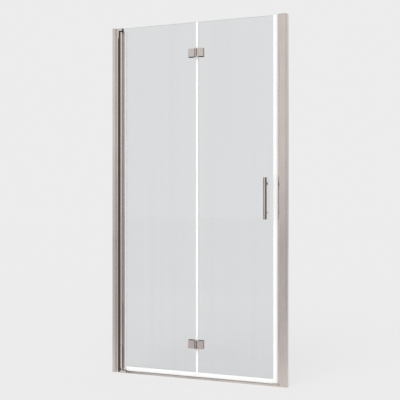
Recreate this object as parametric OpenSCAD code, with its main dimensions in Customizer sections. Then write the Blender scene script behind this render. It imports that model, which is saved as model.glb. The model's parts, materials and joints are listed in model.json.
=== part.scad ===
// Folding pivot shower door for a recess between two walls.
// A round stile turns on a pin at its top and bottom and carries the first pane of glass.
// Two glass-to-glass hinges carry the second pane, which folds back against the first one.
// Millimetres. X runs from wall to wall, Y points into the shower, Z is up.
// The origin is on the shower tray, midway between the walls, in the middle plane of the glass.

/* [Opening and glass] */
// Width of the opening, from wall face to wall face
door_w = 1000; // [900:1:1200]
// Height of the wall profiles above the shower tray
door_h = 1950; // [1800:1:2100]
// Thickness of the tempered glass
glass_t = 6; // [5:0.5:8]
// Gap between the shower tray and the lower edge of the glass
glass_lift = 21; // [20:0.5:30]
// How far the upper edge of the glass lies below the top of the profiles
glass_top_gap = 1; // [0.5:0.5:10]
// Distance from the hinge-side wall to the axis of the pivot
pivot_from_wall = 55; // [55:0.5:75]
// Distance from the hinge-side wall to the axis of the fold
fold_from_wall = 496.5; // [420:0.5:560]

/* [Wall profiles] */
// Depth of both jambs, front to back
jamb_d = 30; // [27:0.5:40]
// Wall thickness of the jamb extrusions
jamb_wall = 1.6; // [1.2:0.1:2]
// Radius of the jambs' outer corners
jamb_corner_r = 2.5; // [2:0.1:5]
// Wide part of the hinge jamb, measured from the wall
hinge_jamb_w = 19.5; // [18:0.5:22]
// Length of the narrow nose of the hinge jamb
hinge_nose_w = 11.9; // [9:0.1:12.5]
// Depth of that nose, front to back
hinge_nose_d = 14; // [13:0.5:18]
// Width of the front face of the strike jamb
strike_jamb_w = 36; // [30:0.5:50]
// Strip of the wall channel left showing beside the strike jamb
strike_reveal = 8.5; // [2:0.5:14]
// Length of the tapered nose of the strike jamb
strike_nose_w = 10.7; // [10:0.1:16]
// Depth of the end of that nose, front to back
strike_nose_d = 13; // [12:0.5:16]
// Wall thickness of the channels that are screwed to the walls
channel_wall = 1.6; // [1.2:0.1:2]
// Depth of the hinge-side channel's legs
hinge_channel_leg = 14; // [12:0.5:15]
// Depth of the strike-side channel's legs
strike_channel_leg = 24; // [20:0.5:28]
// Diameter of the wall screw holes
wall_hole_d = 5.2; // [4:0.1:6]
// Height of the lowest wall screw, and distance of the highest one from the top
wall_hole_inset = 100; // [60:5:160]
// Thickness of the jambs' top caps
cap_t = 2; // [1.5:0.1:3]
// Diameter of the screws that join each jamb to its channel
jamb_screw_d = 3.5; // [3:0.1:4.2]

/* [Pivot] */
// Diameter of the round stile
stile_d = 25.7; // [25:0.1:28]
// Wall thickness of the stile
stile_wall = 2.2; // [1.8:0.1:2.5]
// How far the stile's arms reach from the pivot axis to grip the glass
arm_reach = 19; // [17:0.5:24]
// Wall thickness of those arms
arm_wall = 2.4; // [1.8:0.1:3]
// Height of the lower end of the stile
stile_lift = 25; // [25:0.5:32]
// Distance from the upper end of the stile to the top of the profiles
stile_drop = 22; // [20:0.5:30]
// Distance from the pivot axis to the edge of the glass
glass_from_pivot = 10; // [10:0.5:13]
// Diameter of the two pivot pins
pivot_pin_d = 8; // [6:0.5:9]
// Outer diameter of the bush around each pin
bush_d = 12; // [11:0.5:14]
// Length of the plugs in the ends of the stile
plug_len = 40; // [25:1:70]
// Radius of the rounded end of the top bracket
bracket_r = 8.5; // [7:0.1:9]
// Thickness of the top bracket's arm
bracket_t = 13; // [9:0.5:13.5]
// Height of the top bracket's leg on the jamb
bracket_leg = 55; // [45:1:90]
// Height of the blocks at both ends of the threshold
block_h = 12; // [10:0.5:12]
// Length of the pivot block
pivot_block_len = 43.5; // [38:0.5:60]
// Length of the end block at the strike jamb
end_block_len = 38; // [25:0.5:60]

/* [Threshold and seals] */
// Height of the crown of the threshold
threshold_h = 9; // [7:0.5:10]
// Height of the threshold's front and rear edges
threshold_edge = 3; // [2:0.1:4]
// Wall thickness of the threshold
threshold_wall = 1.6; // [1.2:0.1:2]
// Wall thickness of the push-on seals
seal_wall = 1.1; // [0.8:0.1:1.5]
// Height above the tray that the drip seals' lips reach down to
lip_z = 13; // [12.5:0.5:16]
// Overlap of the drip seals on the glass
drip_grip = 15.5; // [8:0.5:20]
// Overlap of the magnetic seal on the glass
magnet_grip = 10; // [6:0.5:14]
// Width of the magnetic seal's head beyond the edge of the glass
magnet_head = 7.2; // [6:0.1:10]
// Depth of that head, front to back
magnet_head_d = 12; // [11:0.5:14]
// How far the strike magnet stands out of the strike jamb
strike_magnet_out = 5; // [2.5:0.1:6]
// Gap between the two magnets when the door is shut
magnet_gap = 0.6; // [0.5:0.1:4]
// Gap between the two panes at the fold
pane_gap = 9; // [7:0.5:12]
// Overlap of the fold seal on the second pane
fold_grip = 6.3; // [4:0.1:10]

/* [Fold hinges] */
// Width of an open hinge
hinge_w = 86.5; // [70:0.5:100]
// Height of a hinge
hinge_h = 46; // [40:1:60]
// Distance from each end of the glass to the middle of the nearest hinge
hinge_inset = 168; // [100:1:300]
// Thickness of the front plates
front_plate_t = 10; // [8:0.5:12]
// Thickness of the rear plates
rear_plate_t = 6; // [5:0.5:8]
// Thickness of the rubber pads on both sides of the glass
pad_t = 1; // [0.5:0.1:2]
// Diameter of the hinge barrel
barrel_d = 12; // [11:0.5:14]
// How far the hinge pin lies in front of the front plates' face
pin_out = 0.5; // [0.5:0.1:1.5]
// Diameter of the hinge pin
hinge_pin_d = 5; // [4:0.1:6]
// Wall thickness of the hinge bush
hinge_bush_wall = 1; // [0.8:0.1:1.5]
// Height of the middle knuckle
knuckle_h = 15; // [12:0.5:24]
// Diameter of the hinge screws
hinge_screw_d = 5.8; // [4.8:0.1:6]
// Spacing of the two screws in a plate
hinge_screw_pitch = 24; // [18:0.5:30]

/* [Handle] */
// Length of the handle bar
handle_len = 221; // [160:1:400]
// Diameter of the handle bar
handle_d = 20; // [16:0.5:25]
// Height of the middle of the handle bar
handle_z = 985.5; // [900:0.5:1100]
// Distance from the edge of the second pane to the handle bar
handle_from_edge = 47; // [35:0.5:120]
// Distance from the face of the glass to the axis of the handle bar
handle_standoff = 37; // [32:0.5:45]
// Distance from each end of the bar to the nearest fixing
handle_fix_inset = 34; // [20:0.5:60]
// Diameter of the round boss behind the upper fixing
boss_d = 24; // [16:0.5:26]
// Diameter of the slim post at the lower fixing
post_d = 9; // [8:0.5:14]
// Diameter of the handle screws
handle_screw_d = 4; // [3.5:0.1:5]
// Diameter of the round caps on the inside
rear_cap_d = 12; // [12:0.5:26]
// Thickness of those caps
rear_cap_t = 6; // [4:0.5:8]

/* [Fits] */
// Gap all round between pieces that slide into each other
slide_fit = 0.3; // [0.2:0.05:0.35]
// Radial clearance of a pin in its bush
pin_fit = 0.05; // [0.02:0.01:0.1]
// Gap between pieces that are fitted closely and don't move
seat_fit = 0.1; // [0.05:0.01:0.15]
// Gap between turning faces
turn_gap = 0.3; // [0.2:0.05:0.5]

/* [Hidden] */
$fn = 64;

// Colours
nickel = [0.75, 0.72, 0.70];
dark_nickel = [0.60, 0.57, 0.55];
steel = [0.80, 0.80, 0.82];
clear_glass = [0.80, 0.88, 0.87, 0.45];
white_pvc = [0.97, 0.97, 0.97];
clear_pvc = [0.86, 0.89, 0.92, 0.8];
black_rubber = [0.10, 0.09, 0.08];
nylon = [0.88, 0.87, 0.84];
ferrite = [0.25, 0.24, 0.24];

// Planes across the opening, from the hinge-side wall to the strike-side wall
left_wall = -door_w / 2;
right_wall = door_w / 2;
pivot_x = left_wall + pivot_from_wall;
fold_x = left_wall + fold_from_wall;
hinge_nose_end = left_wall + hinge_jamb_w + hinge_nose_w;
strike_outer = right_wall - strike_reveal;
strike_inner = strike_outer - strike_jamb_w;
strike_nose_end = strike_inner - strike_nose_w;
strike_magnet_face = strike_nose_end - strike_magnet_out;
magnetic_seal_face = strike_magnet_face - magnet_gap;

// Edges of the two panes
pivot_glass_a = pivot_x + glass_from_pivot;
pivot_glass_b = fold_x - pane_gap * 0.3;
fold_glass_a = pivot_glass_b + pane_gap;
fold_glass_b = magnetic_seal_face - magnet_head;
glass_z0 = glass_lift;
glass_z1 = door_h - glass_top_gap;
glass_half = glass_t / 2;

// Heights
profile_top = door_h - cap_t;
stile_z0 = stile_lift;
stile_z1 = door_h - stile_drop;
block_gap = 1.5;
nose_z0 = block_h + block_gap;

// Jambs and channels
channel_d = jamb_d - 2 * jamb_wall - 2 * slide_fit;
jamb_half = jamb_d / 2;
wall_gap = 0.6;
jamb_screw_inset = 120;
jamb_screw_z = [jamb_screw_inset, door_h / 2, door_h - jamb_screw_inset];
jamb_screw_head_d = 2 * jamb_screw_d;
jamb_screw_len = 9.5;
jamb_hole_len = 5;
wall_holes = 4;
wall_hole_pitch = (door_h - 2 * wall_hole_inset) / (wall_holes - 1);
hinge_screw_line = hinge_channel_leg / 2;
strike_screw_line = strike_reveal + (strike_channel_leg - strike_reveal) / 2;
strike_taper = strike_nose_w - 2;
jamb_bevel = 1;
magnet_neck = 4;
magnet_foot = 7;
magnet_foot_t = 1.6;
magnet_lip = 0.5;
cap_spigot = 8;

// Pivot
stile_r = stile_d / 2;
stile_hollow_r = stile_r - stile_wall;
pocket_half = glass_half + 1;
arm_half = pocket_half + arm_wall;
web_t = 1.8;
web_x = glass_from_pivot - 0.5 - web_t;
gasket_neck = 3;
gasket_head = 6;
gasket_t = 1.6;
gasket_foot_t = 1.8;
gasket_skin = 2;
gasket_lip = 8.5;
gasket_lip_t = 0.8;
pin_r = pivot_pin_d / 2;
pin_bevel = 1;
pin_reach = 28;
pin_seat = 2;
bush_r = bush_d / 2;
bush_flange_r = glass_from_pivot - 0.6;
top_flange_t = 4.5;
bottom_flange_t = 3.6;
bush_flange_t = 1;
bush_len = 24;
collar_top = stile_z0 - bottom_flange_t - bush_flange_t - turn_gap;
bracket_leg_t = 4;
bracket_z0 = door_h - bracket_t;
bracket_screw_d = 3.9;
bracket_screw_z = [bracket_z0 - 12, door_h - bracket_leg + 8];

// Blocks and threshold
pivot_block_a = pivot_x - sqrt(pow(stile_r + turn_gap, 2) - pow(hinge_nose_d / 2, 2)) + 0.4;
pivot_block_b = pivot_block_a + pivot_block_len;
end_block_b = strike_inner;
end_block_a = end_block_b - end_block_len;
tongue_len = 10;
tongue_inset = 7;
block_corner_r = 5;
block_slope = 3;

// Seals
seal_half = glass_half + seat_fit + seal_wall;
magnet_pocket = 3.2;
magnet_skin = 0.6;

// Fold hinges
barrel_r = barrel_d / 2;
front_face_y = -(glass_half + pad_t + front_plate_t);
fold_y = front_face_y - pin_out;
rear_face_y = glass_half + pad_t + rear_plate_t;
leaf_edge = barrel_r + 0.4;
rear_edge = 12;
hinge_pin_r = hinge_pin_d / 2;
hinge_bush_r = hinge_pin_r + pin_fit + hinge_bush_wall;
hinge_screw_x = hinge_w / 2 - 16;
hinge_screw_tip_y = front_face_y + 3.5;
glass_hole_d = hinge_screw_d + 4;
upper_hinge_z = glass_z1 - hinge_inset;
lower_hinge_z = glass_z0 + hinge_inset;
knuckle_gap = 0.4;
edge_bevel = 0.8;

// Handle
handle_x = fold_glass_b - handle_from_edge;
handle_y = -(glass_half + handle_standoff);
handle_z0 = handle_z - handle_len / 2;
handle_z1 = handle_z + handle_len / 2;
upper_fix_z = handle_z1 - handle_fix_inset;
lower_fix_z = handle_z0 + handle_fix_inset;
washer_t = 1.2;
washer_d = 12;
handle_hole_d = handle_screw_d + 3;
spigot_d = 6;
spigot_len = 6;
boss_len = 10;
boss_sink = 5;
post_end_y = -(glass_half + washer_t);
rear_cap_y = glass_half + washer_t;
handle_screw_grip = 10;
rear_cap_bevel = 1;

// Shared shapes

// Rectangle from x = 0 to x = w, centred on y = 0, with its two far corners rounded
module shouldered(w, d, r) {
    translate([0, -d / 2]) square([w - r, d]);
    translate([0, -d / 2 + r]) square([w, d - 2 * r]);
    for (side = [-1, 1])
        translate([w - r, side * (d / 2 - r)]) circle(r);
}

// Rectangle centred on the origin with four rounded corners
module rounded_rect(w, d, r) {
    square([w - 2 * r, d], center = true);
    square([w, d - 2 * r], center = true);
    for (sx = [-1, 1], sy = [-1, 1])
        translate([sx * (w / 2 - r), sy * (d / 2 - r)]) circle(r);
}

// Box with bevelled edges, from its lowest corner
module bevelled_box(size, bevel) {
    w = size[0];
    d = size[1];
    h = size[2];
    intersection() {
        linear_extrude(h)
            polygon([[bevel, 0], [w - bevel, 0], [w, bevel], [w, d - bevel],
                [w - bevel, d], [bevel, d], [0, d - bevel], [0, bevel]]);
        rotate([90, 0, 90]) linear_extrude(w)
            polygon([[bevel, 0], [d - bevel, 0], [d, bevel], [d, h - bevel],
                [d - bevel, h], [bevel, h], [0, h - bevel], [0, bevel]]);
    }
}

// Cylinder along +Y that starts at y = 0
module rod_y(r, len) {
    rotate([-90, 0, 0]) cylinder(r = r, h = len);
}

// Cylinder along +X that starts at x = 0
module rod_x(r, len) {
    rotate([0, 90, 0]) cylinder(r = r, h = len);
}

// Countersunk screw along -Y: its flat head ends at y = 0, with a hexagon socket
module countersunk_screw(d, head_d, len) {
    head_h = (head_d - d) / 2;
    difference() {
        union() {
            translate([0, -head_h, 0]) rotate([-90, 0, 0])
                cylinder(r1 = d / 2, r2 = head_d / 2, h = head_h);
            translate([0, -len, 0]) rod_y(d / 2, len - head_h);
        }
        translate([0, -head_h, 0]) rotate([-90, 30, 0])
            cylinder(r = d * 0.35, h = head_h + 1, $fn = 6);
    }
}

// Hole for that screw, a little wider all over
module countersunk_hole(d, head_d, len, fit) {
    head_h = (head_d - d) / 2;
    translate([0, -head_h, 0]) rotate([-90, 0, 0])
        cylinder(r1 = d / 2 + fit, r2 = head_d / 2 + fit, h = head_h);
    translate([0, -len, 0]) rod_y(d / 2 + fit, len + 0.01);
    rod_y(head_d / 2 + fit, 1);
}

// Wall profiles

module channel_section(leg) {
    translate([0, -channel_d / 2]) square([channel_wall, channel_d]);
    for (y = [-channel_d / 2, channel_d / 2 - channel_wall])
        translate([0, y]) square([leg, channel_wall]);
}

// Channel with its web on x = 0 and its legs towards +X; the screw line lies at screw_x
module wall_channel(leg, screw_x) {
    difference() {
        linear_extrude(profile_top) channel_section(leg);
        for (i = [0:wall_holes - 1])
            translate([-1, 0, wall_hole_inset + i * wall_hole_pitch])
                rod_x(wall_hole_d / 2, channel_wall + 2);
        for (z = jamb_screw_z)
            translate([screw_x, channel_d / 2 - channel_wall - 1, z])
                rod_y(jamb_screw_d / 2 + seat_fit, channel_wall + 2);
    }
}

module left_wall_channel() {
    color(nickel) translate([left_wall, 0, 0]) wall_channel(hinge_channel_leg, hinge_screw_line);
}

module right_wall_channel() {
    color(nickel) translate([right_wall, 0, 0]) mirror([1, 0, 0])
        wall_channel(strike_channel_leg, strike_screw_line);
}

// Row of countersunk holes or screws through the inside face of a jamb
module jamb_screw_row(x) {
    for (z = jamb_screw_z) translate([x, jamb_half, z]) children();
}

module hinge_jamb_outline() {
    translate([wall_gap, 0]) shouldered(hinge_jamb_w - wall_gap, jamb_d, jamb_corner_r);
    translate([hinge_jamb_w - 1, 0]) shouldered(hinge_nose_w + 1, hinge_nose_d, 1);
}

module hinge_jamb_section() {
    inner_r = jamb_corner_r - jamb_wall;
    difference() {
        hinge_jamb_outline();
        shouldered(hinge_jamb_w - jamb_wall, jamb_d - 2 * jamb_wall, inner_r);
        translate([hinge_jamb_w, -hinge_nose_d / 2 + jamb_wall])
            square([hinge_nose_w - gasket_t, hinge_nose_d - 2 * jamb_wall]);
        translate([hinge_jamb_w, -gasket_neck / 2 - seat_fit])
            square([hinge_nose_w + 1, gasket_neck + 2 * seat_fit]);
    }
}

module hinge_jamb() {
    color(nickel) translate([left_wall, 0, 0]) difference() {
        linear_extrude(profile_top) hinge_jamb_section();
        jamb_screw_row(hinge_screw_line)
            countersunk_hole(jamb_screw_d, jamb_screw_head_d, jamb_hole_len, seat_fit);
        for (z = bracket_screw_z)
            translate([hinge_jamb_w + hinge_nose_w - gasket_t - 1, 0, z])
                rod_x(bracket_screw_d / 2 + seat_fit, gasket_t + 2);
    }
}

module hinge_jamb_cap() {
    color(dark_nickel) translate([left_wall, 0, 0]) {
        translate([0, 0, profile_top]) linear_extrude(cap_t) hinge_jamb_outline();
        // spigot that fills the hollow of the nose, clear of the gasket's foot
        translate([hinge_jamb_w + seat_fit, -gasket_head / 2 + 1, profile_top - cap_spigot])
            cube([hinge_nose_w - gasket_t - 2 * gasket_foot_t, gasket_head - 2, cap_spigot + 0.01]);
    }
}

module hinge_jamb_screws() {
    color(steel) translate([left_wall, 0, 0]) jamb_screw_row(hinge_screw_line)
        countersunk_screw(jamb_screw_d, jamb_screw_head_d, jamb_screw_len);
}

// Black rubber between the jamb's nose and the turning stile: hollow, hooked into the nose
module jamb_gasket() {
    tip = sqrt(pow(stile_r + turn_gap, 2) - pow(hinge_nose_d / 2, 2));
    body_w = pivot_x - tip - hinge_nose_end;
    foot_x = hinge_nose_end - gasket_t - seat_fit - gasket_foot_t;
    leg_room = bracket_leg_t + turn_gap;
    color(black_rubber) difference() {
        translate([0, 0, turn_gap]) linear_extrude(bracket_z0 - 2 * turn_gap) difference() {
            union() {
                translate([hinge_nose_end, -hinge_nose_d / 2]) square([body_w, hinge_nose_d]);
                translate([foot_x, -gasket_neck / 2])
                    square([hinge_nose_end - foot_x + 1, gasket_neck]);
                translate([foot_x, -gasket_head / 2]) square([gasket_foot_t, gasket_head]);
            }
            translate([pivot_x, 0]) circle(stile_r + turn_gap);
            translate([hinge_nose_end + gasket_skin, -hinge_nose_d / 2 + gasket_skin])
                square([body_w / 2, hinge_nose_d - 2 * gasket_skin]);
        }
        // trimmed back to make room for the leg of the top bracket
        translate([foot_x - 1, -hinge_nose_d, door_h - bracket_leg - turn_gap])
            cube([hinge_nose_end + leg_room - foot_x + 1, 2 * hinge_nose_d, bracket_leg]);
    }
}

// Strike jamb in coordinates that run from its outer edge towards the door
module strike_jamb_outline() {
    difference() {
        shouldered(strike_jamb_w, jamb_d, 1);
        // both edges beside the wall channel are bevelled, which leaves a shadow line there
        polygon([[-0.1, -jamb_half - 0.1], [jamb_bevel, -jamb_half - 0.1], [jamb_bevel, -jamb_half],
            [0, -jamb_half + jamb_bevel], [-0.1, -jamb_half + jamb_bevel]]);
        polygon([[-0.1, jamb_half - jamb_bevel], [0, jamb_half - jamb_bevel], [jamb_bevel, jamb_half],
            [jamb_bevel, jamb_half + 0.1], [-0.1, jamb_half + 0.1]]);
    }
    polygon([[strike_jamb_w - 1, -jamb_half + 1], [strike_jamb_w, -jamb_half + 1],
        [strike_jamb_w + strike_taper, -strike_nose_d / 2],
        [strike_jamb_w + strike_nose_w, -strike_nose_d / 2],
        [strike_jamb_w + strike_nose_w, strike_nose_d / 2],
        [strike_jamb_w + strike_taper, strike_nose_d / 2],
        [strike_jamb_w, jamb_half - 1], [strike_jamb_w - 1, jamb_half - 1]]);
}

module strike_jamb_section() {
    inset = 1.3 * jamb_wall;
    nose_room = strike_jamb_w + strike_nose_w - jamb_wall;
    nose_side = strike_nose_d / 2 - jamb_wall;
    difference() {
        strike_jamb_outline();
        translate([-1, -jamb_half + jamb_wall])
            square([strike_jamb_w - jamb_wall + 1, jamb_d - 2 * jamb_wall]);
        polygon([[strike_jamb_w, -jamb_half + 1 + inset],
            [strike_jamb_w + strike_taper - 0.4, -nose_side], [nose_room, -nose_side],
            [nose_room, nose_side], [strike_jamb_w + strike_taper - 0.4, nose_side],
            [strike_jamb_w, jamb_half - 1 - inset]]);
        translate([strike_jamb_w + 2, -magnet_neck / 2 - seat_fit])
            square([strike_nose_w, magnet_neck + 2 * seat_fit]);
    }
}

module at_strike_jamb() {
    translate([strike_outer, 0, 0]) mirror([1, 0, 0]) children();
}

module strike_jamb() {
    color(nickel) at_strike_jamb() difference() {
        linear_extrude(profile_top) strike_jamb_section();
        // the nose is cut back to clear the end block
        translate([strike_jamb_w, -jamb_d, -1])
            cube([strike_nose_w + 1, 2 * jamb_d, nose_z0 + 1]);
        jamb_screw_row(strike_screw_line - strike_reveal)
            countersunk_hole(jamb_screw_d, jamb_screw_head_d, jamb_hole_len, seat_fit);
    }
}

module strike_jamb_cap() {
    color(dark_nickel) at_strike_jamb() {
        translate([0, 0, profile_top]) linear_extrude(cap_t) strike_jamb_outline();
        translate([strike_jamb_w + slide_fit, -magnet_foot / 2, profile_top - cap_spigot])
            cube([strike_nose_w - jamb_wall - 2 * magnet_foot_t, magnet_foot, cap_spigot + 0.01]);
    }
}

module strike_jamb_screws() {
    color(steel) at_strike_jamb() jamb_screw_row(strike_screw_line - strike_reveal)
        countersunk_screw(jamb_screw_d, jamb_screw_head_d, jamb_screw_len);
}

// White holder clipped into the strike jamb, with a groove for the magnet in its face
module strike_magnet_holder() {
    foot_x = strike_nose_end + jamb_wall + seat_fit;
    color(white_pvc) translate([0, 0, nose_z0]) linear_extrude(profile_top - nose_z0)
        difference() {
            union() {
                translate([strike_magnet_face, -magnet_head_d / 2])
                    square([strike_magnet_out, magnet_head_d]);
                translate([strike_nose_end - 0.2, -magnet_neck / 2])
                    square([jamb_wall + seat_fit + 0.5, magnet_neck]);
                translate([foot_x, -magnet_foot / 2]) square([magnet_foot_t, magnet_foot]);
            }
            magnet_groove(0);
        }
}

// Rectangle inside the holder's head, made smaller all round by inset
module magnet_groove(inset) {
    side = 3 * magnet_lip;
    translate([strike_magnet_face + magnet_lip + inset, -magnet_head_d / 2 + side + inset])
        square([strike_magnet_out - 2 * (magnet_lip + inset), magnet_head_d - 2 * (side + inset)]);
}

module strike_magnet_strip() {
    color(ferrite) translate([0, 0, nose_z0]) linear_extrude(profile_top - nose_z0)
        magnet_groove(seat_fit);
}

// Pivot hardware on the frame

// Angle bracket: a leg screwed to the jamb's nose and a rounded arm over the stile
module top_pivot_bracket() {
    arm = pivot_x - hinge_nose_end;
    color(nickel) difference() {
        union() {
            translate([hinge_nose_end, -bracket_r, bracket_z0]) cube([arm, 2 * bracket_r, bracket_t]);
            translate([pivot_x, 0, bracket_z0]) cylinder(r = bracket_r, h = bracket_t);
            translate([hinge_nose_end, -hinge_nose_d / 2, door_h - bracket_leg])
                cube([bracket_leg_t, hinge_nose_d, bracket_leg - bracket_t + 0.5]);
        }
        translate([pivot_x, 0, bracket_z0 - 1]) cylinder(r = pin_r, h = bracket_t - pin_seat + 1);
        for (z = bracket_screw_z)
            translate([hinge_nose_end + bracket_leg_t, 0, z]) rotate([0, 0, -90])
                countersunk_hole(bracket_screw_d, 2 * bracket_screw_d, bracket_leg_t + 1, seat_fit);
    }
}

module top_bracket_screws() {
    color(steel) for (z = bracket_screw_z)
        translate([hinge_nose_end + bracket_leg_t, 0, z]) rotate([0, 0, -90])
            countersunk_screw(bracket_screw_d, 2 * bracket_screw_d, bracket_leg_t + 7);
}

module top_pivot_pin() {
    len = pin_reach + bracket_t - pin_seat;
    color(steel) translate([pivot_x, 0, bracket_z0 - pin_reach]) rotate_extrude()
        polygon([[0, 0], [pin_r - pin_bevel, 0], [pin_r, pin_bevel], [pin_r, len], [0, len]]);
}

// Block with rounded corners and sloping front and rear edges, drilled with its children
module threshold_block(len) {
    difference() {
        intersection() {
            translate([len / 2, 0, 0]) linear_extrude(block_h)
                rounded_rect(len, jamb_d, block_corner_r);
            translate([0, -jamb_half, 0]) rotate([90, 0, 90]) linear_extrude(len)
                polygon([[0, 0], [jamb_d, 0], [jamb_d, block_h - block_slope],
                    [jamb_d - block_slope, block_h], [block_slope, block_h],
                    [0, block_h - block_slope]]);
        }
        children();
    }
}

// Tongue on the end of a block that slides into the hollow of the threshold
module threshold_tongue() {
    tongue_half = jamb_half - tongue_inset;
    translate([-0.5, -tongue_half, threshold_wall + seat_fit])
        cube([tongue_len, 2 * tongue_half, threshold_edge]);
}

module bottom_pivot_block() {
    color(nickel) {
        translate([pivot_block_a, 0, 0]) threshold_block(pivot_block_len)
            translate([pivot_x - pivot_block_a, 0, pin_seat]) cylinder(r = pin_r, h = block_h);
        translate([pivot_block_b, 0, 0]) threshold_tongue();
    }
}

module strike_end_block() {
    color(nickel) {
        translate([end_block_a, 0, 0]) threshold_block(end_block_len);
        translate([end_block_a, 0, 0]) mirror([1, 0, 0]) threshold_tongue();
    }
}

module bottom_pivot_pin() {
    len = stile_z0 + pin_reach - bottom_flange_t - bush_flange_t - pin_seat;
    color(steel) translate([pivot_x, 0, pin_seat]) rotate_extrude()
        polygon([[0, 0], [pin_r, 0], [pin_r, len - pin_bevel], [pin_r - pin_bevel, len], [0, len]]);
}

module bottom_thrust_collar() {
    color(nickel) translate([pivot_x, 0, block_h]) difference() {
        cylinder(r = bush_flange_r, h = collar_top - block_h);
        translate([0, 0, -1]) cylinder(r = pin_r + pin_fit, h = collar_top);
    }
}

// Low threshold with a domed top and a hollow inside
module threshold_section() {
    rise = threshold_h - threshold_edge;
    dome_r = (jamb_half * jamb_half + rise * rise) / (2 * rise);
    difference() {
        intersection() {
            translate([-jamb_half, 0]) square([jamb_d, threshold_h]);
            translate([0, threshold_h - dome_r]) circle(dome_r, $fn = 360);
        }
        intersection() {
            translate([-jamb_half + 5, threshold_wall]) square([jamb_d - 10, threshold_h]);
            translate([0, threshold_h - dome_r]) circle(dome_r - threshold_wall, $fn = 360);
        }
    }
}

module threshold() {
    color(nickel) translate([pivot_block_b, 0, 0]) rotate([90, 0, 90])
        linear_extrude(end_block_a - pivot_block_b) threshold_section();
}

// Stile and what turns with it

module stile_section() {
    difference() {
        union() {
            circle(stile_r);
            translate([0, -arm_half]) square([arm_reach, 2 * arm_half]);
        }
        stile_hollow(0);
        translate([web_x + web_t, -pocket_half]) square([arm_reach, 2 * pocket_half]);
    }
}

// Round hollow with one flat side, made smaller all round by inset
module stile_hollow(inset) {
    intersection() {
        circle(stile_hollow_r - inset);
        translate([-stile_r, -stile_r]) square([stile_r + web_x - inset, stile_d]);
    }
}

module pivot_stile() {
    color(nickel) translate([pivot_x, 0, stile_z0])
        linear_extrude(stile_z1 - stile_z0) stile_section();
}

// Plug in the end of the stile, pointing up, with a flange cut flat beside the glass
module stile_plug(flange_r, flange_t) {
    difference() {
        union() {
            linear_extrude(plug_len + 0.01) stile_hollow(seat_fit);
            translate([0, 0, plug_len]) linear_extrude(flange_t) intersection() {
                circle(flange_r);
                translate([-stile_r, -stile_r]) square([stile_r + web_x + web_t, stile_d]);
            }
        }
        translate([0, 0, -1]) cylinder(r = bush_r + seat_fit, h = plug_len + flange_t + 2);
    }
}

module top_stile_plug() {
    color(black_rubber) translate([pivot_x, 0, stile_z1 - plug_len])
        stile_plug(stile_r - 0.3, top_flange_t);
}

module bottom_stile_plug() {
    color(dark_nickel) translate([pivot_x, 0, stile_z0 + plug_len]) mirror([0, 0, 1])
        stile_plug(stile_r - 1.5, bottom_flange_t);
}

// Flanged bush with its flange on z = 0, reaching up by flange_t and down by bush_len
module pivot_bush(flange_t) {
    difference() {
        union() {
            translate([0, 0, -bush_len]) cylinder(r = bush_r, h = bush_len + 0.01);
            cylinder(r = bush_flange_r, h = flange_t);
        }
        translate([0, 0, -bush_len - 1]) cylinder(r = pin_r + pin_fit, h = bush_len + flange_t + 2);
    }
}

module top_pivot_bush() {
    seat = stile_z1 + top_flange_t;
    flange_t = bracket_z0 - turn_gap - seat;
    color(nylon) translate([pivot_x, 0, seat]) pivot_bush(flange_t);
}

module bottom_pivot_bush() {
    color(nylon) translate([pivot_x, 0, stile_z0 - bottom_flange_t]) mirror([0, 0, 1])
        pivot_bush(bush_flange_t);
}

// Panes

// Sheet of glass from x0 to x1 with ground edges, drilled for whatever is given as children
module pane(x0, x1) {
    arris = 0.4;
    difference() {
        translate([x0, -glass_half, glass_z0])
            bevelled_box([x1 - x0, glass_t, glass_z1 - glass_z0], arris);
        children();
    }
}

module hinge_glass_holes(side) {
    for (zc = [upper_hinge_z, lower_hinge_z], dz = [-1, 1] * hinge_screw_pitch / 2)
        translate([fold_x + side * hinge_screw_x, -glass_t, zc + dz])
            rod_y(glass_hole_d / 2, 2 * glass_t);
}

module pivot_glass() {
    color(clear_glass) pane(pivot_glass_a, pivot_glass_b) hinge_glass_holes(-1);
}

module fold_glass() {
    color(clear_glass) pane(fold_glass_a, fold_glass_b) {
        hinge_glass_holes(1);
        for (z = [upper_fix_z, lower_fix_z])
            translate([handle_x, -glass_t, z]) rod_y(handle_hole_d / 2, 2 * glass_t);
    }
}

// Clear gasket that wedges the first pane in the stile, with a thin lip on each face
module stile_glazing_gasket() {
    pocket_x = web_x + web_t + seat_fit;
    lip_end = arm_reach + gasket_lip;
    grip = glass_half + seat_fit;
    outer = pocket_half - seat_fit;
    color(clear_pvc) translate([pivot_x, 0, stile_z0]) linear_extrude(stile_z1 - stile_z0)
        for (side = [-1, 1])
            polygon([[pocket_x, side * grip], [pocket_x, side * outer],
                [arm_reach, side * outer], [arm_reach, side * (outer + gasket_lip_t)],
                [arm_reach + 2 * gasket_lip_t, side * (outer + gasket_lip_t)],
                [lip_end, side * (grip + 0.3)], [lip_end, side * grip]]);
}

// Drip seal section in Y and Z: legs on the glass, a web under it, a wiper and an inward lip
module drip_section() {
    web_z = glass_z0 - seat_fit;
    leg_in = glass_half + seat_fit;
    top = glass_z0 + drip_grip;
    web_low = web_z - seal_wall;
    difference() {
        translate([-seal_half, web_low]) square([2 * seal_half, top - web_low]);
        translate([-leg_in, web_z]) square([2 * leg_in, drip_grip + 1]);
    }
    polygon([[-seal_half + 0.2, lip_z], [-seal_half + 0.9, lip_z],
        [-seal_half + 1.3, web_low + 0.2], [-seal_half, web_low + 0.2]]);
    polygon([[seal_half + 2.8, lip_z + 0.6], [seal_half + 3.6, lip_z + 1.2],
        [seal_half, web_low + 0.2], [seal_half - 1.3, web_low + 0.2]]);
}

module drip_seal(x0, x1) {
    color(white_pvc) translate([x0, 0, 0]) rotate([90, 0, 90])
        linear_extrude(x1 - x0) drip_section();
}

module pivot_drip_seal() {
    drip_seal(pivot_x + arm_reach + gasket_lip + slide_fit, pivot_glass_b - 0.2);
}

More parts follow.
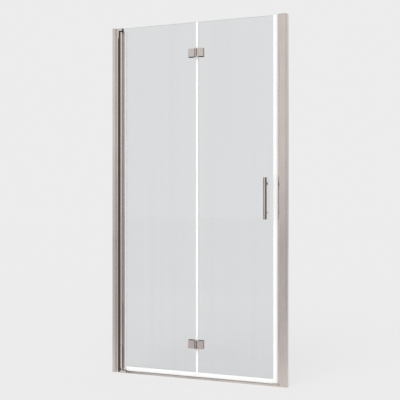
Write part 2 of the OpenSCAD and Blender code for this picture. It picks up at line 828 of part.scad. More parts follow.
module fold_drip_seal() {
    drip_seal(fold_glass_a + fold_grip + 0.4, fold_glass_b - magnet_grip - 0.4);
}

// Seal on the edge of the second pane that closes the gap at the fold
module fold_seal_section() {
    grip = glass_half + seat_fit;
    tip = pivot_glass_b + 0.4;
    back = fold_glass_a - seat_fit;
    difference() {
        translate([back - seal_wall, -seal_half])
            square([fold_grip + seal_wall + seat_fit, 2 * seal_half]);
        translate([back, -grip]) square([fold_grip + 1, 2 * grip]);
    }
    // hollow bulb between the two panes
    difference() {
        union() {
            translate([tip + 1.2, -seal_half]) square([back - tip - 1.2 - 0.5, 2 * seal_half]);
            translate([tip, -seal_half + 1.2]) square([back - tip - 0.5, 2 * seal_half - 2.4]);
            for (side = [-1, 1])
                translate([tip + 1.2, side * (seal_half - 1.2)]) circle(1.2);
        }
        translate([tip + seal_wall, -seal_half + seal_wall])
            square([back - tip - 2 * seal_wall, 2 * (seal_half - seal_wall)]);
    }
}

// Lengths of the fold seal: it is cut out at both hinges
module fold_seal() {
    cut = hinge_h / 2 + 0.8;
    color(white_pvc) for (run = [[lip_z, lower_hinge_z - cut],
            [lower_hinge_z + cut, upper_hinge_z - cut], [upper_hinge_z + cut, glass_z1]])
        translate([0, 0, run[0]]) linear_extrude(run[1] - run[0]) fold_seal_section();
}

// Magnetic seal on the closing edge: legs on the glass and a head that holds the magnet
module magnetic_seal_section() {
    grip = glass_half + seat_fit;
    back = fold_glass_b + seat_fit;
    half = magnet_head_d / 2;
    difference() {
        union() {
            translate([fold_glass_b - magnet_grip, -seal_half])
                square([magnet_grip + seat_fit + seal_wall, 2 * seal_half]);
            polygon([[back + seal_wall - 0.5, -seal_half],
                [magnetic_seal_face - magnet_pocket - seal_wall, -half],
                [magnetic_seal_face, -half], [magnetic_seal_face, half],
                [magnetic_seal_face - magnet_pocket - seal_wall, half],
                [back + seal_wall - 0.5, seal_half]]);
        }
        translate([fold_glass_b - magnet_grip - 1, -grip])
            square([magnet_grip + 1 + seat_fit, 2 * grip]);
        magnet_pocket_section(0);
    }
}

module magnet_pocket_section(inset) {
    half = magnet_head_d / 2 - seal_wall;
    translate([magnetic_seal_face - magnet_pocket + inset, -half + inset])
        square([magnet_pocket - magnet_skin - 2 * inset, 2 * (half - inset)]);
}

module magnetic_seal() {
    color(white_pvc) translate([0, 0, nose_z0]) linear_extrude(glass_z1 - nose_z0)
        magnetic_seal_section();
}

module seal_magnet() {
    color(ferrite) translate([0, 0, nose_z0]) linear_extrude(glass_z1 - nose_z0)
        magnet_pocket_section(seat_fit);
}

// Fold hinges, drawn about the fold axis with x measured from it.
// side is -1 for the half on the first pane and 1 for the half on the second one.

// Heights of the knuckles of one leaf: the middle one, or the two outer ones
function knuckles(middle) = middle
    ? [[-knuckle_h / 2, knuckle_h / 2]]
    : [[-hinge_h / 2 + 0.5, -knuckle_h / 2 - knuckle_gap],
       [knuckle_h / 2 + knuckle_gap, hinge_h / 2 - 0.5]];

module at_hinge(zc) {
    translate([fold_x, 0, zc]) children();
}

module mirrored_to(side) {
    mirror([side < 0 ? 1 : 0, 0, 0]) children();
}

module hinge_leaf(side, middle) {
    plate_w = hinge_w / 2 - leaf_edge;
    bore_r = middle ? hinge_bush_r : hinge_pin_r;
    color(nickel) mirrored_to(side) difference() {
        union() {
            translate([leaf_edge, front_face_y, -hinge_h / 2])
                bevelled_box([plate_w, front_plate_t, hinge_h], edge_bevel);
            for (k = knuckles(middle)) translate([0, 0, k[0]]) {
                translate([0, fold_y, 0]) cylinder(r = barrel_r, h = k[1] - k[0]);
                // web that carries the knuckle, behind the plate's bevelled front edge
                translate([0, fold_y + 1.2, 0])
                    cube([leaf_edge + 2, barrel_r - 1.2, k[1] - k[0]]);
            }
        }
        for (k = knuckles(middle))
            translate([0, fold_y, k[0] - 1]) cylinder(r = bore_r, h = k[1] - k[0] + 2);
        for (dz = [-1, 1] * hinge_screw_pitch / 2)
            translate([hinge_screw_x, hinge_screw_tip_y - 0.5, dz])
                rod_y(hinge_screw_d / 2 + seat_fit, front_plate_t);
    }
}

module hinge_back_plate(side) {
    plate_w = hinge_w / 2 - rear_edge;
    color(nickel) mirrored_to(side) difference() {
        translate([rear_edge, glass_half + pad_t, -hinge_h / 2])
            bevelled_box([plate_w, rear_plate_t, hinge_h], edge_bevel);
        hinge_screw_places() countersunk_hole(hinge_screw_d, 2 * hinge_screw_d,
            rear_plate_t + 1, seat_fit);
    }
}

module hinge_screw_places() {
    for (dz = [-1, 1] * hinge_screw_pitch / 2)
        translate([hinge_screw_x, rear_face_y, dz]) children();
}

module hinge_pads(side) {
    pad_in = 1.5;
    color(black_rubber) mirrored_to(side) difference() {
        for (y = [-glass_half - pad_t, glass_half])
            translate([rear_edge, y, -hinge_h / 2 + pad_in])
                cube([hinge_w / 2 - rear_edge - pad_in, pad_t, hinge_h - 2 * pad_in]);
        for (dz = [-1, 1] * hinge_screw_pitch / 2)
            translate([hinge_screw_x, -glass_t, dz]) rod_y(hinge_screw_d / 2 + 1, 2 * glass_t);
    }
}

module hinge_screws(side) {
    color(steel) mirrored_to(side) hinge_screw_places()
        countersunk_screw(hinge_screw_d, 2 * hinge_screw_d, rear_face_y - hinge_screw_tip_y);
}

module hinge_pin() {
    color(steel) translate([0, fold_y, -hinge_h / 2 + 0.5])
        cylinder(r = hinge_pin_r, h = hinge_h - 1);
}

module hinge_bush() {
    color(nylon) translate([0, fold_y, 0]) difference() {
        cylinder(r = hinge_bush_r, h = knuckle_h, center = true);
        cylinder(r = hinge_pin_r + pin_fit, h = knuckle_h + 2, center = true);
    }
}

// The upper hinge is the lower one turned over, so its middle knuckle is on the second pane
module upper_hinge_pivot_leaf() { at_hinge(upper_hinge_z) hinge_leaf(-1, false); }
module upper_hinge_pivot_back_plate() { at_hinge(upper_hinge_z) hinge_back_plate(-1); }
module upper_hinge_pivot_pads() { at_hinge(upper_hinge_z) hinge_pads(-1); }
module upper_hinge_pivot_screws() { at_hinge(upper_hinge_z) hinge_screws(-1); }
module upper_hinge_fold_leaf() { at_hinge(upper_hinge_z) hinge_leaf(1, true); }
module upper_hinge_fold_back_plate() { at_hinge(upper_hinge_z) hinge_back_plate(1); }
module upper_hinge_fold_pads() { at_hinge(upper_hinge_z) hinge_pads(1); }
module upper_hinge_fold_screws() { at_hinge(upper_hinge_z) hinge_screws(1); }
module upper_hinge_pin() { at_hinge(upper_hinge_z) hinge_pin(); }
module upper_hinge_bush() { at_hinge(upper_hinge_z) hinge_bush(); }
module lower_hinge_pivot_leaf() { at_hinge(lower_hinge_z) hinge_leaf(-1, true); }
module lower_hinge_pivot_back_plate() { at_hinge(lower_hinge_z) hinge_back_plate(-1); }
module lower_hinge_pivot_pads() { at_hinge(lower_hinge_z) hinge_pads(-1); }
module lower_hinge_pivot_screws() { at_hinge(lower_hinge_z) hinge_screws(-1); }
module lower_hinge_fold_leaf() { at_hinge(lower_hinge_z) hinge_leaf(1, false); }
module lower_hinge_fold_back_plate() { at_hinge(lower_hinge_z) hinge_back_plate(1); }
module lower_hinge_fold_pads() { at_hinge(lower_hinge_z) hinge_pads(1); }
module lower_hinge_fold_screws() { at_hinge(lower_hinge_z) hinge_screws(1); }
module lower_hinge_pin() { at_hinge(lower_hinge_z) hinge_pin(); }
module lower_hinge_bush() { at_hinge(lower_hinge_z) hinge_bush(); }

// Handle

module handle_bar() {
    bevel = 1;
    r = handle_d / 2;
    color(nickel) difference() {
        translate([handle_x, handle_y, handle_z0]) rotate_extrude()
            polygon([[0, 0], [r - bevel, 0], [r, bevel], [r, handle_len - bevel],
                [r - bevel, handle_len], [0, handle_len]]);
        for (z = [upper_fix_z, lower_fix_z])
            translate([handle_x, handle_y + r - spigot_len - 1, z])
                rod_y(spigot_d / 2 + seat_fit, spigot_len + 2);
    }
}

// Body of a post at the height z, hollowed to sit on the bar and tapped for its screw
module handle_post(z) {
    r = handle_d / 2;
    translate([handle_x, 0, z]) difference() {
        union() {
            difference() {
                children();
                translate([0, handle_y, 0]) cylinder(r = r + seat_fit, h = 4 * boss_d, center = true);
            }
            translate([0, handle_y + r - spigot_len, 0]) rod_y(spigot_d / 2, spigot_len + 2);
        }
        translate([0, post_end_y - handle_screw_grip - 1, 0])
            rod_y(handle_screw_d / 2 + seat_fit, handle_screw_grip + 2);
    }
}

module handle_upper_post() {
    boss_y = handle_y + boss_sink;
    boss_r = boss_d / 2;
    neck_r = post_d / 2 + 1;
    reach = post_end_y - boss_y;
    color(nickel) handle_post(upper_fix_z)
        translate([0, boss_y, 0]) rotate([-90, 0, 0]) rotate_extrude()
            polygon([[0, 0], [boss_r - 1, 0], [boss_r, 1], [boss_r, boss_len - 1],
                [boss_r - 1, boss_len], [neck_r + 2, boss_len + 2], [neck_r, boss_len + 5],
                [neck_r, reach], [0, reach]]);
}

module handle_lower_post() {
    color(nickel) handle_post(lower_fix_z)
        translate([0, handle_y + boss_sink, 0])
            rod_y(post_d / 2, post_end_y - handle_y - boss_sink);
}

// Clear washers on both faces of the glass at both fixings
module handle_washers() {
    color(clear_pvc) for (z = [upper_fix_z, lower_fix_z], y = [post_end_y, glass_half])
        translate([handle_x, y, z]) difference() {
            rod_y(washer_d / 2, washer_t);
            translate([0, -1, 0]) rod_y(handle_screw_d / 2 + 0.4, washer_t + 2);
        }
}

module handle_rear_caps() {
    color(nickel) for (z = [upper_fix_z, lower_fix_z])
        translate([handle_x, rear_cap_y, z]) difference() {
            rotate([-90, 0, 0]) rotate_extrude()
                polygon([[0, 0], [rear_cap_d / 2, 0], [rear_cap_d / 2, rear_cap_t - rear_cap_bevel],
                    [rear_cap_d / 2 - rear_cap_bevel, rear_cap_t], [0, rear_cap_t]]);
            translate([0, rear_cap_t, 0]) countersunk_hole(handle_screw_d, 2 * handle_screw_d,
                rear_cap_t + 1, seat_fit);
        }
}

module handle_screws() {
    len = rear_cap_y + rear_cap_t - post_end_y + handle_screw_grip;
    color(steel) for (z = [upper_fix_z, lower_fix_z])
        translate([handle_x, rear_cap_y + rear_cap_t, z])
            countersunk_screw(handle_screw_d, 2 * handle_screw_d, len);
}

left_wall_channel();
right_wall_channel();
hinge_jamb();
hinge_jamb_cap();
hinge_jamb_screws();
jamb_gasket();
top_pivot_bracket();
top_bracket_screws();
top_pivot_pin();
bottom_pivot_block();
bottom_pivot_pin();
bottom_thrust_collar();
threshold();
strike_end_block();
strike_jamb();
strike_jamb_cap();
strike_jamb_screws();
strike_magnet_holder();
strike_magnet_strip();
pivot_stile();
top_stile_plug();
bottom_stile_plug();
top_pivot_bush();
bottom_pivot_bush();
pivot_glass();
stile_glazing_gasket();
pivot_drip_seal();
upper_hinge_pivot_leaf();
upper_hinge_pivot_back_plate();
upper_hinge_pivot_pads();
upper_hinge_pivot_screws();
upper_hinge_fold_leaf();
upper_hinge_fold_back_plate();
upper_hinge_fold_pads();
upper_hinge_fold_screws();
upper_hinge_pin();
upper_hinge_bush();
lower_hinge_pivot_leaf();
lower_hinge_pivot_back_plate();
lower_hinge_pivot_pads();
lower_hinge_pivot_screws();
lower_hinge_fold_leaf();
lower_hinge_fold_back_plate();
lower_hinge_fold_pads();
lower_hinge_fold_screws();
lower_hinge_pin();
lower_hinge_bush();
fold_glass();
fold_seal();
magnetic_seal();
seal_magnet();
fold_drip_seal();
handle_bar();
handle_upper_post();
handle_lower_post();
handle_washers();
handle_rear_caps();
handle_screws();
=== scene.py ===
"""Folding pivot shower door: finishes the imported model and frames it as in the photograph."""

import json
import logging
import math
from dataclasses import dataclass
from enum import Enum
from typing import Iterable, Sequence

import bmesh
import bpy
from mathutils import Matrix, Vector

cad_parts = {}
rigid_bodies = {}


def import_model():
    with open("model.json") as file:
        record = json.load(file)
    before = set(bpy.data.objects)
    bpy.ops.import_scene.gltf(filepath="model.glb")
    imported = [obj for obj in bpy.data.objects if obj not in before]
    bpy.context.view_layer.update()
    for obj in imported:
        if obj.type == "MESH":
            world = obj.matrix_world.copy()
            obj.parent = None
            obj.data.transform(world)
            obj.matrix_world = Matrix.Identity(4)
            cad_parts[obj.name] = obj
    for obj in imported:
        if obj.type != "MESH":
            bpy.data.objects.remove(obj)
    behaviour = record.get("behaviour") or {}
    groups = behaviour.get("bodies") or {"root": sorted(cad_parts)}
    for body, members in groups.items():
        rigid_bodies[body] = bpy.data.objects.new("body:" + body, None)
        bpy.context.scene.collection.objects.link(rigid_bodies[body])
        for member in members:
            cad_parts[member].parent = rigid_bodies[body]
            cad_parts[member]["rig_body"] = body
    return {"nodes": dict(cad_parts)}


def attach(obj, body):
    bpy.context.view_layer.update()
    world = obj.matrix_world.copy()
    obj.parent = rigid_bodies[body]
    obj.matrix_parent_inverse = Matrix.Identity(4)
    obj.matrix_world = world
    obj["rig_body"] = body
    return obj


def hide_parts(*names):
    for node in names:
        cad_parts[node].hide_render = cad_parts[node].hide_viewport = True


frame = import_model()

log = logging.getLogger("shower_door")
MM = 0.001
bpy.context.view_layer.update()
NEAR = 0.01 * MM  # points no further from a plane than this count as lying in it
WELD = 0.002 * MM  # points nearer to each other than this are one
FLAT_DEG = 0.3  # triangles that meet at less than this angle are one face
CORNER_DEG = 25.0  # an outline that turns by less than this is a round part of a section
SECTION_SMOOTH_DEG = 40.0
ALONG = 0.5  # a side's normal has less than this along the piece, and an end's has more
Tree = bpy.types.NodeTree
Socket = bpy.types.NodeSocket
Point = tuple[float, float, float]
Corners = tuple[Point, Point, Point, Point]

# widths of softened edges, and radii of the corners that a die leaves, in millimetres
CRISP = 0.0
FINE = 0.2
SOFT = 0.3
CAST = 0.4
EASED = 0.5
FULL = 0.6


# ---------------------------------------------------------------- colours and nodes


def linear(hex_colour: str) -> tuple[float, float, float, float]:
    """Turns an sRGB hex colour into linear RGBA.

    Args:
        hex_colour: Six hexadecimal digits, such as "c0b8b2".

    Returns:
        Linear red, green and blue, with alpha 1.
    """
    parts = [int(hex_colour[i:i + 2], 16) / 255 for i in (0, 2, 4)]
    lin = [c / 12.92 if c <= 0.04045 else ((c + 0.055) / 1.055) ** 2.4 for c in parts]
    return (lin[0], lin[1], lin[2], 1.0)


def add(tree: Tree, kind: str, links: dict | None = None,
        **settings) -> bpy.types.Node:
    """Adds a node with its settings, values and links.

    Args:
        tree: The node tree it goes into.
        kind: The node's type name.
        links: Input name or number to a value, an output socket, or a list of output sockets.
        **settings: Properties of the node itself.

    Returns:
        The new node.
    """
    node = tree.nodes.new(kind)
    for key, value in settings.items():
        setattr(node, key, value)
    for key, value in (links or {}).items():
        sockets = value if isinstance(value, list) else [value]
        if all(isinstance(socket, Socket) for socket in sockets):
            for socket in sockets:
                tree.links.new(socket, node.inputs[key])
        else:
            node.inputs[key].default_value = value
    return node


class Grain(Enum):
    """The way along which a brushed surface was brushed."""

    UPRIGHT = "z"
    ACROSS = "x"
    NONE = "none"


def start(name: str) -> tuple[bpy.types.Material, Tree, bpy.types.Node]:
    """Starts a material.

    Args:
        name: The material's name.

    Returns:
        The material, its node tree and its Principled shader.
    """
    material = bpy.data.materials.new(name)
    material.use_nodes = True
    tree = material.node_tree
    shader = next(n for n in tree.nodes if n.type == "BSDF_PRINCIPLED")
    return material, tree, shader


def blank(name: str) -> tuple[bpy.types.Material, Tree]:
    """Starts a material of the stage, with no node in it.

    Args:
        name: The material's name.

    Returns:
        The material and its empty node tree.
    """
    material = bpy.data.materials.new(name)
    material.use_nodes = True
    material.node_tree.nodes.clear()
    return material, material.node_tree


def spaced(tree: Tree, size_mm: Sequence[float]) -> Socket:
    """Object coordinates divided by a size, so that a pattern's unit is that many millimetres.

    Args:
        tree: The material's node tree.
        size_mm: Size of one unit of the pattern along X, Y and Z.

    Returns:
        The output socket of the scaled coordinates.
    """
    coords = add(tree, "ShaderNodeTexCoord").outputs["Object"]
    scale = tuple(1 / (s * MM) for s in size_mm)
    return add(tree, "ShaderNodeMapping", {"Vector": coords, "Scale": scale}).outputs["Vector"]


def noise(tree: Tree, size_mm: Sequence[float], detail: float, roughness: float = 0.5) -> Socket:
    """Noise that is fixed to the piece.

    Args:
        tree: The material's node tree.
        size_mm: Size of one unit of the noise along X, Y and Z.
        detail: Number of finer layers over the first one.
        roughness: Strength of the finer layers.

    Returns:
        The output socket of the noise.
    """
    return add(tree, "ShaderNodeTexNoise", {
        "Vector": spaced(tree, size_mm), "Scale": 1.0, "Detail": detail,
        "Roughness": roughness}).outputs["Fac"]


def relief(tree: Tree, shader: bpy.types.Node, height: Socket,
           strength: float, depth_mm: float) -> None:
    """Gives a surface a fine relief.

    Args:
        tree: The material's node tree.
        shader: The material's shader.
        height: The pattern that the relief follows.
        strength: Share of the relief that shows.
        depth_mm: Height of the relief.
    """
    bump = add(tree, "ShaderNodeBump", {"Height": height, "Strength": strength,
                                        "Distance": depth_mm * MM})
    tree.links.new(bump.outputs["Normal"], shader.inputs["Normal"])


def blend(tree: Tree, share: Socket, low: tuple, high: tuple) -> Socket:
    """Colour between two colours.

    Args:
        tree: The material's node tree.
        share: 0 gives the first colour and 1 the second.
        low: The first colour.
        high: The second colour.

    Returns:
        The output socket of the colour.
    """
    mix = add(tree, "ShaderNodeMix", {0: share, 6: low, 7: high}, data_type="RGBA")
    return mix.outputs[2]


def remap(tree: Tree, value: Socket, low: float, high: float,
          start_at: float = 0.3, end_at: float = 0.7) -> Socket:
    """A value of a pattern brought into a range.

    Args:
        tree: The material's node tree.
        value: The pattern's value.
        low: Result where the value is start_at.
        high: Result where the value is end_at.
        start_at: Lower end of the pattern's own range.
        end_at: Upper end of the pattern's own range.

    Returns:
        The output socket of the result.
    """
    return add(tree, "ShaderNodeMapRange", {
        "Value": value, "From Min": start_at, "From Max": end_at,
        "To Min": low, "To Max": high}).outputs["Result"]


# ---------------------------------------------------------------- finishes


@dataclass(frozen=True)
class BrushedNickel:
    """Nickel plate on metal, brushed to a satin.

    The eye sees a warm grey that is lighter and darker in fine lines along the brushing, and
    highlights that are long and soft across it.
    """

    name: str
    light: str = "dfd5d1"
    dark: str = "d4cac5"
    roughness: float = 0.27
    grain: Grain = Grain.UPRIGHT
    line_mm: float = 0.9  # real brush lines are about 0.1 mm: drawn coarser so that they show
    line_length_mm: float = 90.0
    satin_mm: float = 2.5  # size of the even grain where nothing was brushed
    cloud_mm: Point = (60.0, 60.0, 160.0)
    sharper: float = 0.04  # how far the roughness goes below its middle
    duller: float = 0.05  # and above it
    relief_share: float = 0.08
    relief_mm: float = 0.02

    def build(self) -> bpy.types.Material:
        """Makes the material.

        Returns:
            The material.
        """
        material, tree, shader = start(self.name)
        thin, length = self.line_mm, self.line_length_mm
        size = {Grain.UPRIGHT: (thin, thin, length), Grain.ACROSS: (length, thin, thin),
                Grain.NONE: (self.satin_mm,) * 3}[self.grain]
        lines = noise(tree, size, detail=3.0, roughness=0.6)
        # slow changes over some centimetres, as the plating's thickness changes
        clouds = noise(tree, self.cloud_mm, detail=1.0)
        both = add(tree, "ShaderNodeMath", {0: lines, 1: clouds}, operation="ADD").outputs[0]
        share = remap(tree, both, 0.0, 1.0, start_at=0.7, end_at=1.3)
        tree.links.new(blend(tree, share, linear(self.dark), linear(self.light)),
                       shader.inputs["Base Color"])
        tree.links.new(remap(tree, lines, self.roughness - self.sharper,
                             self.roughness + self.duller), shader.inputs["Roughness"])
        relief(tree, shader, lines, self.relief_share, self.relief_mm)
        shader.inputs["Metallic"].default_value = 1.0
        return material


@dataclass(frozen=True)
class StainlessSteel:
    """Bare turned stainless steel: a cooler grey than the nickel, with a faint turned grain."""

    name: str = "turned stainless steel"
    light: str = "c9cacb"
    dark: str = "b9babb"
    grain_mm: float = 0.6
    sharpest: float = 0.22
    dullest: float = 0.32

    def build(self) -> bpy.types.Material:
        """Makes the material.

        Returns:
            The material.
        """
        material, tree, shader = start(self.name)
        grain = noise(tree, (self.grain_mm,) * 3, detail=2.0)
        tree.links.new(blend(tree, grain, linear(self.dark), linear(self.light)),
                       shader.inputs["Base Color"])
        tree.links.new(remap(tree, grain, self.sharpest, self.dullest),
                       shader.inputs["Roughness"])
        shader.inputs["Metallic"].default_value = 1.0
        return material


@dataclass(frozen=True)
class TemperedGlass:
    """Tempered float glass with ground edges.

    The eye sees what is behind it a little darker and cooler, with faint upright bands some
    centimetres
    wide painted into its tint: painted reflections of the streaks that tempering leaves.
    """

    name: str = "tempered float glass"
    clear: str = "eceeef"
    painted_reflection_band: str = "eaeced"
    band_mm: Point = (55.0, 10000.0, 4000.0)
    ior: float = 1.52

    def build(self) -> bpy.types.Material:
        """Makes the material.

        Returns:
            The material.
        """
        material, tree, shader = start(self.name)
        # faint upright bands in the tint: painted reflection streaks
        share = remap(tree, noise(tree, self.band_mm, detail=2.0), 0, 1)
        tree.links.new(blend(tree, share, linear(self.clear), linear(self.painted_reflection_band)),
                       shader.inputs["Base Color"])
        shader.inputs["Roughness"].default_value = 0.0
        shader.inputs["IOR"].default_value = self.ior
        shader.inputs["Transmission Weight"].default_value = 1.0
        return material


@dataclass(frozen=True)
class Plastic:
    """Extruded or moulded plastic or rubber, with a fine skin grain.

    The eye sees an even colour with a soft sheen, a shade duller where it has been handled.
    """

    name: str
    colour: str
    shade: str
    roughness: float
    skin_mm: float = 0.8
    sheer: float = 0.0
    ior: float = 1.46
    grain: Grain = Grain.UPRIGHT
    mark_mm: tuple[float, float] = (8.0, 70.0)
    uneven: float = 0.05  # how far the roughness goes to each side of its middle
    relief_share: float = 0.1
    relief_mm: float = 0.05

    def build(self) -> bpy.types.Material:
        """Makes the material.

        Returns:
            The material.
        """
        material, tree, shader = start(self.name)
        skin = noise(tree, (self.skin_mm,) * 3, detail=2.0)
        wide, long = self.mark_mm
        size = (long, wide, wide) if self.grain is Grain.ACROSS else (wide, wide, long)
        share = remap(tree, noise(tree, size, detail=1.0), 0, 1)
        tree.links.new(blend(tree, share, linear(self.colour), linear(self.shade)),
                       shader.inputs["Base Color"])
        tree.links.new(remap(tree, skin, self.roughness - self.uneven,
                             self.roughness + self.uneven), shader.inputs["Roughness"])
        relief(tree, shader, skin, self.relief_share, self.relief_mm)
        shader.inputs["IOR"].default_value = self.ior
        shader.inputs["Transmission Weight"].default_value = self.sheer
        return material


class Finishes:
    """Every material of the door, made once."""

    def __init__(self) -> None:
        """Builds the materials."""
        self.profile = BrushedNickel("brushed nickel-plated aluminium").build()
        self.threshold = BrushedNickel("brushed nickel-plated aluminium, lying",
                                       grain=Grain.ACROSS).build()
        self.fitting = BrushedNickel("satin nickel-plated zinc", "d9cfcb", "cec4bf",
                                     roughness=0.18, grain=Grain.NONE).build()
        self.bar = BrushedNickel("fine-brushed nickel-plated brass", "e4dad4", "dacfc8",
                                 roughness=0.1, line_mm=0.6).build()
        self.steel = StainlessSteel().build()
        self.glass = TemperedGlass().build()
        self.white = Plastic("white flexible PVC", "fcfcfb", "f7f7f5", 0.42).build()
        self.white_lying = Plastic("white flexible PVC, lying", "fcfcfb", "f7f7f5", 0.42,
                                   grain=Grain.ACROSS).build()
        self.clear = Plastic("clear flexible PVC", "f6f8fb", "eff2f6", 0.2,
                             sheer=0.12).build()
        self.rubber = Plastic("black EPDM rubber", "1b1a17", "26241f", 0.6).build()
        self.bulb = Plastic("matt black EPDM rubber", "3c3834", "45403b", 0.7).build()
        self.nylon = Plastic("natural nylon", "e4e2da", "d8d5cb", 0.45).build()
        self.acetal = Plastic("moulded black acetal", "201f1d", "2a2826", 0.35).build()
        self.grey = Plastic("moulded grey nylon", "a39a93", "958c85", 0.45).build()
        self.magnet = Plastic("flexible ferrite magnet", "3b3937", "2f2d2b", 0.7).build()


# ---------------------------------------------------------------- shaping


def placed(name: str, data: bpy.types.ID) -> bpy.types.Object:
    """Makes an object and puts it in the scene.

    Args:
        name: Its name.
        data: Its mesh, lamp or camera.

    Returns:
        The object.
    """
    obj = bpy.data.objects.new(name, data)
    bpy.context.scene.collection.objects.link(obj)
    return obj


def dress(obj: bpy.types.Object, material: bpy.types.Material) -> None:
    """Gives a piece one material."""
    obj.data.materials.clear()
    obj.data.materials.append(material)


def smooth(mesh: bpy.types.Mesh, below_deg: float = 32.0) -> None:
    """Shades faces that meet at less than an angle as one curve.

    Args:
        mesh: The mesh.
        below_deg: The angle in degrees.
    """
    mesh.shade_smooth()
    mesh.set_sharp_from_angle(angle=math.radians(below_deg))


def stand_in(node: str, mesh: bpy.types.Mesh) -> bpy.types.Object:
    """Makes a piece that stands for a CAD node and rides on its body.

    Args:
        node: The CAD node.
        mesh: The piece's mesh, with its place in it.

    Returns:
        The new piece.
    """
    piece = placed(f"{node}_finished", mesh)
    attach(piece, frame["nodes"][node]["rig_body"])
    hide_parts(node)
    return piece


def merged(node: str) -> bmesh.types.BMesh:
    """A CAD node's shape with its triangles joined into whole faces.

    Args:
        node: The CAD node.

    Returns:
        The shape, which the caller frees.
    """
    shape = bmesh.new()
    shape.from_mesh(frame["nodes"][node].data)
    bmesh.ops.remove_doubles(shape, verts=shape.verts, dist=WELD)
    bmesh.ops.dissolve_limit(shape, angle_limit=math.radians(FLAT_DEG), verts=shape.verts,
                             edges=shape.edges)
    return shape


def mesh_of(node: str, shape: bmesh.types.BMesh) -> bpy.types.Mesh:
    """Turns a shape into the mesh of a node's piece and frees the shape.

    Args:
        node: The CAD node.
        shape: The shape.

    Returns:
        The mesh.
    """
    mesh = bpy.data.meshes.new(f"{node}_finished")
    shape.to_mesh(mesh)
    shape.free()
    return mesh


@dataclass(frozen=True)
class TightCorner:
    """The upright corners of a profile's outer side, drawn to a smaller radius, in millimetres."""

    face_x: float
    side: int
    half_depth: float
    radius: float = 2.5
    tight: float = 0.7
    slack: float = 0.03

    def apply(self, mesh: bpy.types.Mesh) -> None:
        """Moves the points of both round corners onto the smaller radius.

        Args:
            mesh: The profile's mesh.
        """
        for vert in mesh.vertices:
            x, y = vert.co.x / MM, vert.co.y / MM
            out = (x - self.face_x) * self.side + self.radius
            deep = abs(y) - self.half_depth + self.radius
            on_corner = abs(math.hypot(out, deep) - self.radius) < self.slack
            if on_corner and min(out, deep) * MM > -NEAR:
                turn = math.atan2(deep, out)
                new_x = self.face_x + self.side * self.tight * (math.cos(turn) - 1)
                new_y = math.copysign(self.half_depth + self.tight * (math.sin(turn) - 1), y)
                vert.co.x, vert.co.y = new_x * MM, new_y * MM


def refined(node: str, edge_mm: float = 0.0, smooth_deg: float = 32.0,
            corner: TightCorner | None = None) -> bpy.types.Object:
    """A copy of a CAD node with joined faces, smooth curves and softened edges.

    Args:
        node: The CAD node that the copy stands for.
        edge_mm: Width of the softened edges, or 0 for none.
        smooth_deg: Faces that meet at less than this angle are shaded as one curve.
        corner: The corners to draw tighter, if any.

    Returns:
        The new piece.
    """
    mesh = mesh_of(node, merged(node))
    if corner:
        corner.apply(mesh)
    smooth(mesh, smooth_deg)
    if edge_mm:
        carrier = placed("carrier", mesh)
        bevel = carrier.modifiers.new("softened edges", "BEVEL")
        bevel.width = edge_mm * MM
        bevel.segments = 2
        bevel.limit_method = "ANGLE"
        bevel.angle_limit = math.radians(smooth_deg)
        bevel.harden_normals = True  # flat faces stay flat to the eye beside their soft edges
        mesh = evaluated(carrier)
    return stand_in(node, mesh)


def spread(node: str, by_mm: float) -> bpy.types.Object:
    """A copy of a hinge's pads that reaches further up, down and away from the hinge pin.

    Args:
        node: The CAD node that the copy stands for.
        by_mm: How much further it reaches.

    Returns:
        The new piece.
    """
    shape = merged(node)
    low = min(v.co.z for v in shape.verts)
    high = max(v.co.z for v in shape.verts)
    far = max(abs(v.co.x) for v in shape.verts)
    for vert in shape.verts:
        if far - abs(vert.co.x) < NEAR:
            vert.co.x += math.copysign(by_mm * MM, vert.co.x)
        if vert.co.z - low < NEAR:
            vert.co.z -= by_mm * MM
        elif high - vert.co.z < NEAR:
            vert.co.z += by_mm * MM
    mesh = mesh_of(node, shape)
    smooth(mesh)
    return stand_in(node, mesh)


def evaluated(carrier: bpy.types.Object) -> bpy.types.Mesh:
    """Turns an object with modifiers into a plain mesh and removes the object.

    Args:
        carrier: The object.

    Returns:
        The mesh with every modifier applied.
    """
    graph = bpy.context.evaluated_depsgraph_get()
    mesh = bpy.data.meshes.new_from_object(carrier.evaluated_get(graph))
    bpy.data.objects.remove(carrier)
    return mesh


